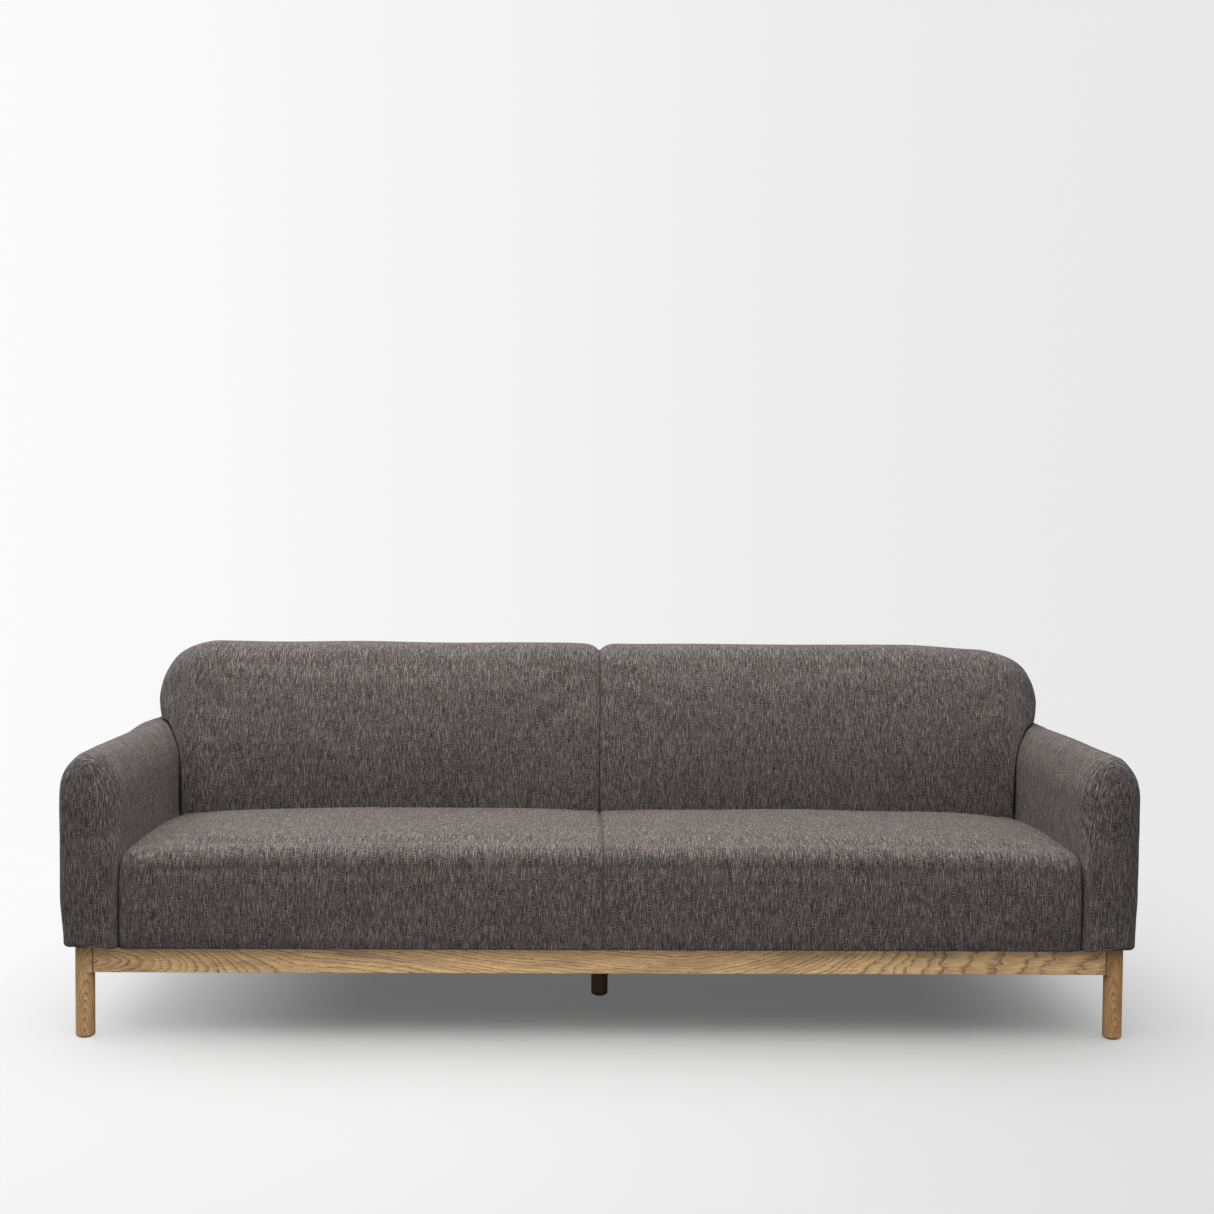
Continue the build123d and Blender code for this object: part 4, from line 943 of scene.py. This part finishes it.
def upholstery():
    graph = Graph(bpy.data.materials.new("woven_charcoal"))
    u, v, _ = graph.parts(graph.node("ShaderNodeUVMap", uv_map="cloth").outputs[0])

    def count(across, pitch):
        return graph.math("FLOOR", graph.math("DIVIDE", across, pitch))

    def strand(across, pitch, along, slub, step, layer):
        """Tone along threads laid in pairs, a light one beside a dark one, that swap from slub to slub."""
        pair = graph.times(count(across, 2 * pitch), step)
        place = graph.vector(pair, graph.math("DIVIDE", along, slub), layer)
        lift = graph.math("SUBTRACT", graph.noise(place, roughness=0.6), 0.5)
        beside = graph.math("FLOORED_MODULO", count(across, pitch), 2.0)
        turn = graph.math("MULTIPLY_ADD", beside, -2.0, 1.0)
        return graph.math("MULTIPLY_ADD", lift, turn, 0.5)

    def single(pitch, slub, step, layer):
        """Tone along threads that run up the sofa, each on its own."""
        thread = graph.times(count(u, pitch), step)
        return graph.noise(graph.vector(thread, graph.math("DIVIDE", v, slub), layer))

    warp = graph.times(strand(u, WARP_PITCH, v, WARP_SLUB, WARP_STEP, 0.0), WARP_SHARE)
    warp = graph.math("MULTIPLY_ADD", single(FINE_PITCH, FINE_SLUB, SINGLE_STEP, 2.0), FINE_SHARE, warp)
    warp = graph.math("MULTIPLY_ADD", single(YARN_PITCH, YARN_SLUB, SINGLE_STEP, 6.0), YARN_SHARE, warp)
    weft = strand(v, WEFT_PITCH, u, WEFT_SLUB, WEFT_STEP, 4.0)
    both = graph.math("ADD", graph.times(warp, WARP_OVER_WEFT), graph.times(weft, 1 - WARP_OVER_WEFT))
    cloudy = graph.noise(graph.vector(u, v), scale=CLOUD_SCALE, detail=2.0)
    tone = graph.math("ADD", both, graph.times(graph.math("SUBTRACT", cloudy, 0.5), CLOUD_DEPTH))
    body = graph.mix(graph.span(tone, 0.40, 0.60), CLOTH_SHADE, CLOTH_TONE)
    tint = single(WARP_PITCH, TINT_SLUB, TINT_STEP, 9.0)
    for value, low, high, strength, colour in (
        (warp, 0.53, 0.63, SLUB_STRENGTH, CLOTH_SLUB),
        (warp, 0.47, 0.37, SLUB_STRENGTH, CLOTH_GAP),
        (weft, 0.56, 0.68, CROSSING_STRENGTH, CLOTH_CROSSING),
        (tint, 0.52, 0.66, TINT_STRENGTH, CLOTH_OLIVE),
        (tint, 0.48, 0.34, TINT_STRENGTH, CLOTH_VIOLET),
    ):
        body = graph.mix(graph.times(graph.span(value, low, high), strength), body, colour)
    ridge = graph.math("SINE", graph.times(u, 2 * math.pi / FINE_PITCH))
    rib = graph.math("SINE", graph.times(v, 2 * math.pi / FINE_PITCH))
    height = graph.math("ADD", graph.times(ridge, rib), graph.times(both, 2.0))
    graph.bump(height, 0.3, CLOTH_RELIEF)
    return graph.surface(Base_Color=body, Roughness=0.95, Specular_IOR_Level=0.15, Sheen_Weight=0.06,
                         Sheen_Roughness=0.5, Sheen_Tint=CLOTH_SHEEN)


# For each direction of grain: along it, into the face that shows, and across that face
AXES = {"X": (0, 1, 2), "Y": (1, 0, 2), "Z": (2, 1, 0)}
ASH_LIGHT = (247, 203, 145)
# Light tone of the legs' ash on each side; the right side's is darker, painted shade for light that comes
# from the left
LEG_LIGHT_AND_PAINTED_SHADE = {"left": (225, 179, 120), "right": (206, 157, 102)}
ASH_DARK = (78, 52, 30)
ASH_JOINT = (62, 38, 24)
ASH_RING = 0.0046
ASH_RING_SPREAD = 2.4
ASH_RING_CHANGE = 3.1
ASH_DRIFT = 0.03
ASH_WAVE = 0.006
ASH_FIBRE_SHADE = 0.82
ASH_LATE_SHADE = 0.22
ASH_BLOTCH_SHADE = 0.34
ASH_RELIEF = 0.0004
JOINT_LINE = (0.004, 0.001)


def ash(name, axis, heart, apex, lean, shift, light=ASH_LIGHT, dark=ASH_DARK, ends=None, back=None):
    """Stained ash, cut so that its year rings show as arches that open out into straight grain.

    The arches start at an apex along the grain. From there the heart of the tree leans into the board and
    shifts across it, each over a reach and by an amount. Where back is given, from its first place on the
    grain turns across the board, and the heart comes nearer again. A board's ends, where given, have a dark
    joint line."""
    graph = Graph(bpy.data.materials.new(name))
    places = graph.parts(graph.node("ShaderNodeTexCoord").outputs["Object"])
    along, inward, over = (places[index] for index in AXES[axis])

    def clouds(stretch, across, detail=2.0):
        deep, wide = graph.times(inward, across), graph.times(over, across)
        return graph.noise(graph.vector(graph.times(along, stretch), deep, wide), detail=detail)

    drift = graph.times(graph.math("SUBTRACT", clouds(3.0, 2.0), 0.5), ASH_DRIFT)
    wave = graph.times(graph.math("SUBTRACT", clouds(16.0, 60.0), 0.5), ASH_WAVE)
    side = graph.math("ADD", graph.math("SUBTRACT", over, heart[1]), drift)
    side = graph.math("ADD", side, graph.span(along, apex, apex + shift[0], 0.0, shift[1]))
    depth = graph.math("ADD", graph.math("SUBTRACT", inward, heart[0]),
                       graph.span(along, apex, apex + lean[0], 0.0, lean[1]))
    if back:
        start, stop, nearer, turned = back
        depth = graph.math("SUBTRACT", depth, graph.span(along, start, stop, 0.0, nearer))
        side = graph.times(side, graph.span(along, start, (start + stop) / 2, 1.0, turned))
    squares = graph.math("ADD", graph.times(side, side), graph.times(depth, depth))
    radius = graph.math("ADD", graph.math("SQRT", squares), wave)
    uneven = graph.noise(graph.vector(graph.math("DIVIDE", radius, ASH_RING_CHANGE * ASH_RING), 0.0))
    rings = graph.math("ADD", graph.math("DIVIDE", radius, ASH_RING), graph.times(uneven, ASH_RING_SPREAD))
    year = graph.math("FRACT", rings)
    vigour = graph.noise(graph.vector(graph.times(graph.math("FLOOR", rings), 3.7), 0.0))
    early = graph.times(graph.span(year, 0.0, 0.08), graph.span(year, 0.48, 0.10))
    fibre = clouds(30.0, 900.0)
    pores = clouds(150.0, 1300.0, 1.0)
    streak = graph.times(early, graph.span(pores, 0.36, 0.58, 0.25, 1.0))
    streak = graph.times(streak, graph.span(vigour, 0.35, 0.6, 0.6, 1.0))
    blotch = clouds(6.0, 24.0)
    shaded = [value * ASH_FIBRE_SHADE for value in light]
    body = graph.mix(graph.span(fibre, 0.35, 0.65), srgb(*light), srgb(*shaded))
    body = graph.mix(graph.times(graph.span(year, 0.3, 1.0), ASH_LATE_SHADE), body, srgb(*dark))
    body = graph.mix(streak, body, srgb(*dark))
    body = graph.mix(graph.times(graph.span(blotch, 0.5, 0.72), ASH_BLOTCH_SHADE), body, srgb(*dark))
    if ends:
        joint = graph.span(graph.math("ABSOLUTE", along), ends - JOINT_LINE[0], ends - JOINT_LINE[1])
        body = graph.mix(joint, body, srgb(*ASH_JOINT))
    graph.bump(graph.math("SUBTRACT", fibre, graph.times(streak, 1.5)), 0.15, ASH_RELIEF)
    return graph.surface(Base_Color=body, Roughness=graph.span(fibre, 0.3, 0.7, 0.42, 0.56), Coat_Weight=0.08,
                         Coat_Roughness=0.35)


def plain(name, first, second, size, roughness, metallic=0.0, relief=0.0003):
    """Finish of a piece that hardly shows: two close tones in small clouds, with a fine relief."""
    graph = Graph(bpy.data.materials.new(name))
    place = graph.node("ShaderNodeTexCoord").outputs["Object"]
    cloud = graph.noise(place, scale=1 / size, detail=3.0)
    body = graph.mix(graph.span(cloud, 0.35, 0.65), srgb(*first), srgb(*second))
    graph.bump(cloud, 0.25, relief)
    return graph.surface(Base_Color=body, Roughness=roughness, Metallic=metallic)


def dress(node, material):
    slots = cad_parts[node].data.materials
    slots.clear()
    slots.append(material)


cloth = upholstery()
seat = make_seat()
arms = {side: make_arm(side) for side in ("left", "right")}
backs = {side: make_back(side) for side in ("left", "right")}
outside_panel = make_outside_panel()

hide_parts("seat_cover")
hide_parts("outside_back_panel")
for side in ("left", "right"):
    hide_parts(f"arm_cover_{side}")
    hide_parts(f"back_cover_{side}")
for piece in (seat, outside_panel, *arms.values(), *backs.values()):
    piece.data.materials.append(cloth)
    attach(piece, "root")

# Base
LEG_HALF = 0.020
LEG_HEART = (0.018, 0.004)
rail_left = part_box("front_rail")[0][0]
rail_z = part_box("front_rail")[0][2]
leg_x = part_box("front_right_leg")[1][0] - LEG_HALF
leg_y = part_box("front_right_leg")[0][1] + LEG_HALF
rail_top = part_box("front_rail")[1][2]
rail_middle = (rail_z + rail_top) / 2
rail_face = -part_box("front_rail")[0][1]
side_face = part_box("right_side_rail")[1][0]
rail_end = leg_x - LEG_HALF
side_rail_end = -leg_y - LEG_HALF
dress("front_rail", ash("ash_front_rail", "X", heart=(-rail_face, rail_middle), apex=rail_left - 0.08,
                        lean=(0.55, 0.09), shift=(1.4, 0.13), ends=rail_end, back=(0.15, 1.45, 0.072, 0.14)))
dress("rear_rail", ash("ash_rear_rail", "X", heart=(rail_face, rail_middle), apex=0.9,
                       lean=(-0.7, 0.09), shift=(-1.4, -0.1), ends=rail_end))
for side, sx in (("left", -1), ("right", 1)):
    wood = ash(f"ash_{side}_rail", "Y", heart=(sx * side_face, rail_middle), apex=0.45 * sx,
               lean=(-0.5 * sx, 0.08), shift=(-0.9 * sx, -0.08 * sx), ends=side_rail_end)
    dress(f"{side}_side_rail", wood)
    for end, sy in (("front", 1), ("rear", -1)):
        heart = (sy * leg_y - LEG_HEART[0], sx * leg_x + LEG_HEART[1])
        # The right legs take a darker tone: painted shade
        wood = ash(f"ash_{end}_{side}_leg", "Z", heart, apex=-0.06, lean=(0.32, 0.045),
                   shift=(0.32, 0.02 * sx), light=LEG_LIGHT_AND_PAINTED_SHADE[side])
        dress(f"{end}_{side}_leg", wood)
# The centre leg's ash is much darker than the other legs': painted shade for the shadow under the sofa
dress("centre_leg", ash("ash_centre_leg", "Z", heart=(0.0, 0.03), apex=-0.1, lean=(0.4, 0.05),
                        shift=(0.4, 0.0), light=(124, 94, 66), dark=(70, 50, 32)))
dress("centre_beam", ash("ash_centre_beam", "Y", heart=(0.1, 0.1), apex=0.0, lean=(1.0, 0.05),
                         shift=(1.0, 0.0), light=(150, 116, 78), dark=(104, 74, 44)))

# Pieces that hardly show
inner_wood = plain("frame_timber", (176, 140, 98), (196, 162, 118), 0.03, 0.7)
foam = plain("seat_foam_fill", (214, 206, 178), (226, 219, 194), 0.004, 0.95)
webbing = plain("elastic_webbing", (52, 50, 48), (70, 67, 63), 0.006, 0.85)
felt = plain("felt_pad", (120, 116, 112), (140, 136, 130), 0.005, 0.95)
lining = plain("dust_cloth_lining", (34, 33, 33), (48, 46, 46), 0.004, 0.95)
glide_plastic = plain("glide_plastic_brown", (58, 46, 38), (68, 56, 46), 0.004, 0.5)
zinc = plain("zinc_plate", (176, 178, 182), (196, 198, 200), 0.006, 0.35, metallic=1.0, relief=0.0001)
FINISHES = (
    (("foam",), foam),
    (("webbing",), webbing),
    (("seat_pad",), felt),
    (("dust_cloth",), lining),
    (("glides",), glide_plastic),
    (("bolts", "washers", "nuts", "stud"), zinc),
    (("board", "post", "corner_blocks"), inner_wood),
    (("arm_top_rail", "arm_bottom_rail", "back_top_rail", "back_bottom_rail"), inner_wood),
)
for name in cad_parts:
    for words, finish in FINISHES:
        if any(word in name for word in words):
            dress(name, finish)

# Plain pale floor that fades into the background, under a dome of soft light that is brightest overhead. Near
# the sofa a share of the floor is a glow that only the camera sees: painted light that lifts the sofa's
# shadow under it and takes that shadow away at its sides.
FLOOR_HALF = 9.0
FLOOR_NEAR = 2.0
FLOOR_FAR = 3.4
FLOOR_SIDE_NEAR = 0.60
FLOOR_SIDE_FAR = 1.75
FLOOR_SIDE_MIDDLE = 0.1
# Floor tone, lighter at the left than at the right: painted falloff of light
FLOOR_LEFT = srgb(172, 172, 172)
FLOOR_RIGHT = srgb(163, 163, 163)
# Share of painted glow in the floor near the middle, which lifts the sofa's shadow under it
FLOOR_PAINTED_GLOW_SHARE = 0.14
FLOOR_TONE_HALF = 1.3
# Backdrop tone, lighter at the left than at the right: painted falloff of light
SKY_LEFT = srgb(250, 250, 250)
SKY_RIGHT = srgb(233, 233, 233)
SKY_TONE_HALF = 0.33
DOME_HORIZON = 0.20
DOME_ZENITH = 3.0
DOME_POWER = 2.4


def make_floor():
    mesh = bpy.data.meshes.new("floor")
    corners = [(-FLOOR_HALF, -FLOOR_HALF, 0), (FLOOR_HALF, -FLOOR_HALF, 0), (FLOOR_HALF, FLOOR_HALF, 0),
               (-FLOOR_HALF, FLOOR_HALF, 0)]
    mesh.from_pydata(corners, [], [(0, 1, 2, 3)])
    floor = show("floor", mesh)
    graph = Graph(bpy.data.materials.new("pale_floor"))
    place = graph.node("ShaderNodeTexCoord").outputs["Object"]
    x, _, _ = graph.parts(place)
    across = graph.span(x, -FLOOR_TONE_HALF, FLOOR_TONE_HALF)
    tone = graph.mix(across, FLOOR_LEFT, FLOOR_RIGHT)
    graph.surface(Base_Color=tone, Roughness=0.9, Specular_IOR_Level=0.0)
    reach = graph.node("ShaderNodeVectorMath", operation="LENGTH")
    graph.feed(reach.inputs[0], place)
    aside = graph.math("ABSOLUTE", graph.math("SUBTRACT", x, FLOOR_SIDE_MIDDLE))
    glow = graph.node("ShaderNodeEmission")
    graph.feed(glow.inputs[0], graph.mix(across, SKY_LEFT, SKY_RIGHT))
    graph.feed(glow.inputs[1], graph.node("ShaderNodeLightPath").outputs["Is Camera Ray"])
    # Share of painted glow in the floor: a little near the middle, lifting the sofa's shadow, and all of it
    # at the sides, where it takes the sofa's shadow away
    painted_glow_share = graph.span(aside, FLOOR_SIDE_NEAR, FLOOR_SIDE_FAR, FLOOR_PAINTED_GLOW_SHARE, 1.0)
    pale = graph.blend(painted_glow_share, graph.shader.outputs[0], glow.outputs[0])
    clear = graph.node("ShaderNodeBsdfTransparent").outputs[0]
    faded = graph.blend(graph.span(reach.outputs["Value"], FLOOR_NEAR, FLOOR_FAR), pale, clear)
    graph.feed(graph.tree.nodes["Material Output"].inputs["Surface"], faded)
    mesh.materials.append(graph.holder)


def make_world():
    world = bpy.data.worlds.new("studio")
    bpy.context.scene.world = world
    graph = Graph(world)
    graph.tree.nodes.clear()
    path = graph.node("ShaderNodeLightPath")
    mirrored = graph.math("MAXIMUM", path.outputs["Is Glossy Ray"], path.outputs["Is Transmission Ray"])
    shown = graph.math("MAXIMUM", path.outputs["Is Camera Ray"], mirrored)
    x, _, z = graph.parts(graph.node("ShaderNodeTexCoord").outputs["Generated"])
    # The backdrop seen by the camera darkens from left to right: painted falloff of light
    tone = graph.mix(graph.span(x, -SKY_TONE_HALF, SKY_TONE_HALF), SKY_LEFT, SKY_RIGHT)
    seen = graph.node("ShaderNodeBackground")
    graph.feed(seen.inputs[0], tone)
    dome = graph.node("ShaderNodeBackground")
    rise = graph.math("POWER", graph.math("MAXIMUM", z, 0.0), DOME_POWER)
    graph.feed(dome.inputs[1], graph.math("MULTIPLY_ADD", rise, DOME_ZENITH, DOME_HORIZON))
    output = graph.node("ShaderNodeOutputWorld")
    graph.feed(output.inputs[0], graph.blend(shown, dome.outputs[0], seen.outputs[0]))


def make_light(name, place, aim, size, power):
    lamp = bpy.data.lights.new(name, "AREA")
    lamp.shape = "RECTANGLE"
    lamp.size, lamp.size_y = size
    lamp.energy = power
    light = show(name, lamp)
    light.location = place
    light.rotation_euler = (Vector(aim) - Vector(place)).to_track_quat("-Z", "Y").to_euler()


def make_camera():
    forward = Vector((math.sin(CAMERA_YAW) * math.cos(CAMERA_PITCH),
                      math.cos(CAMERA_YAW) * math.cos(CAMERA_PITCH), -math.sin(CAMERA_PITCH)))
    level = Vector((math.cos(CAMERA_YAW), -math.sin(CAMERA_YAW), 0))
    upright = level.cross(forward)
    right = level * math.cos(CAMERA_ROLL) + upright * math.sin(CAMERA_ROLL)
    up = upright * math.cos(CAMERA_ROLL) - level * math.sin(CAMERA_ROLL)
    lens = bpy.data.cameras.new("camera")
    lens.sensor_width = CAMERA_SENSOR
    lens.lens = CAMERA_LENS
    camera = show("camera", lens)
    turn = Matrix((right, up, -forward)).transposed().to_4x4()
    camera.matrix_world = Matrix.Translation(CAMERA_PLACE) @ turn
    bpy.context.scene.camera = camera


make_floor()
make_world()
make_light("overhead", place=(-0.4, -0.4, 2.2), aim=(0.0, -0.1, 0.3), size=(4.2, 3.6), power=97)
make_light("left", place=(-3.2, 0.3, 0.5), aim=(0.0, 0.0, 0.05), size=(1.6, 0.8), power=10)
make_camera()
bpy.context.scene.view_settings.view_transform = "Standard"
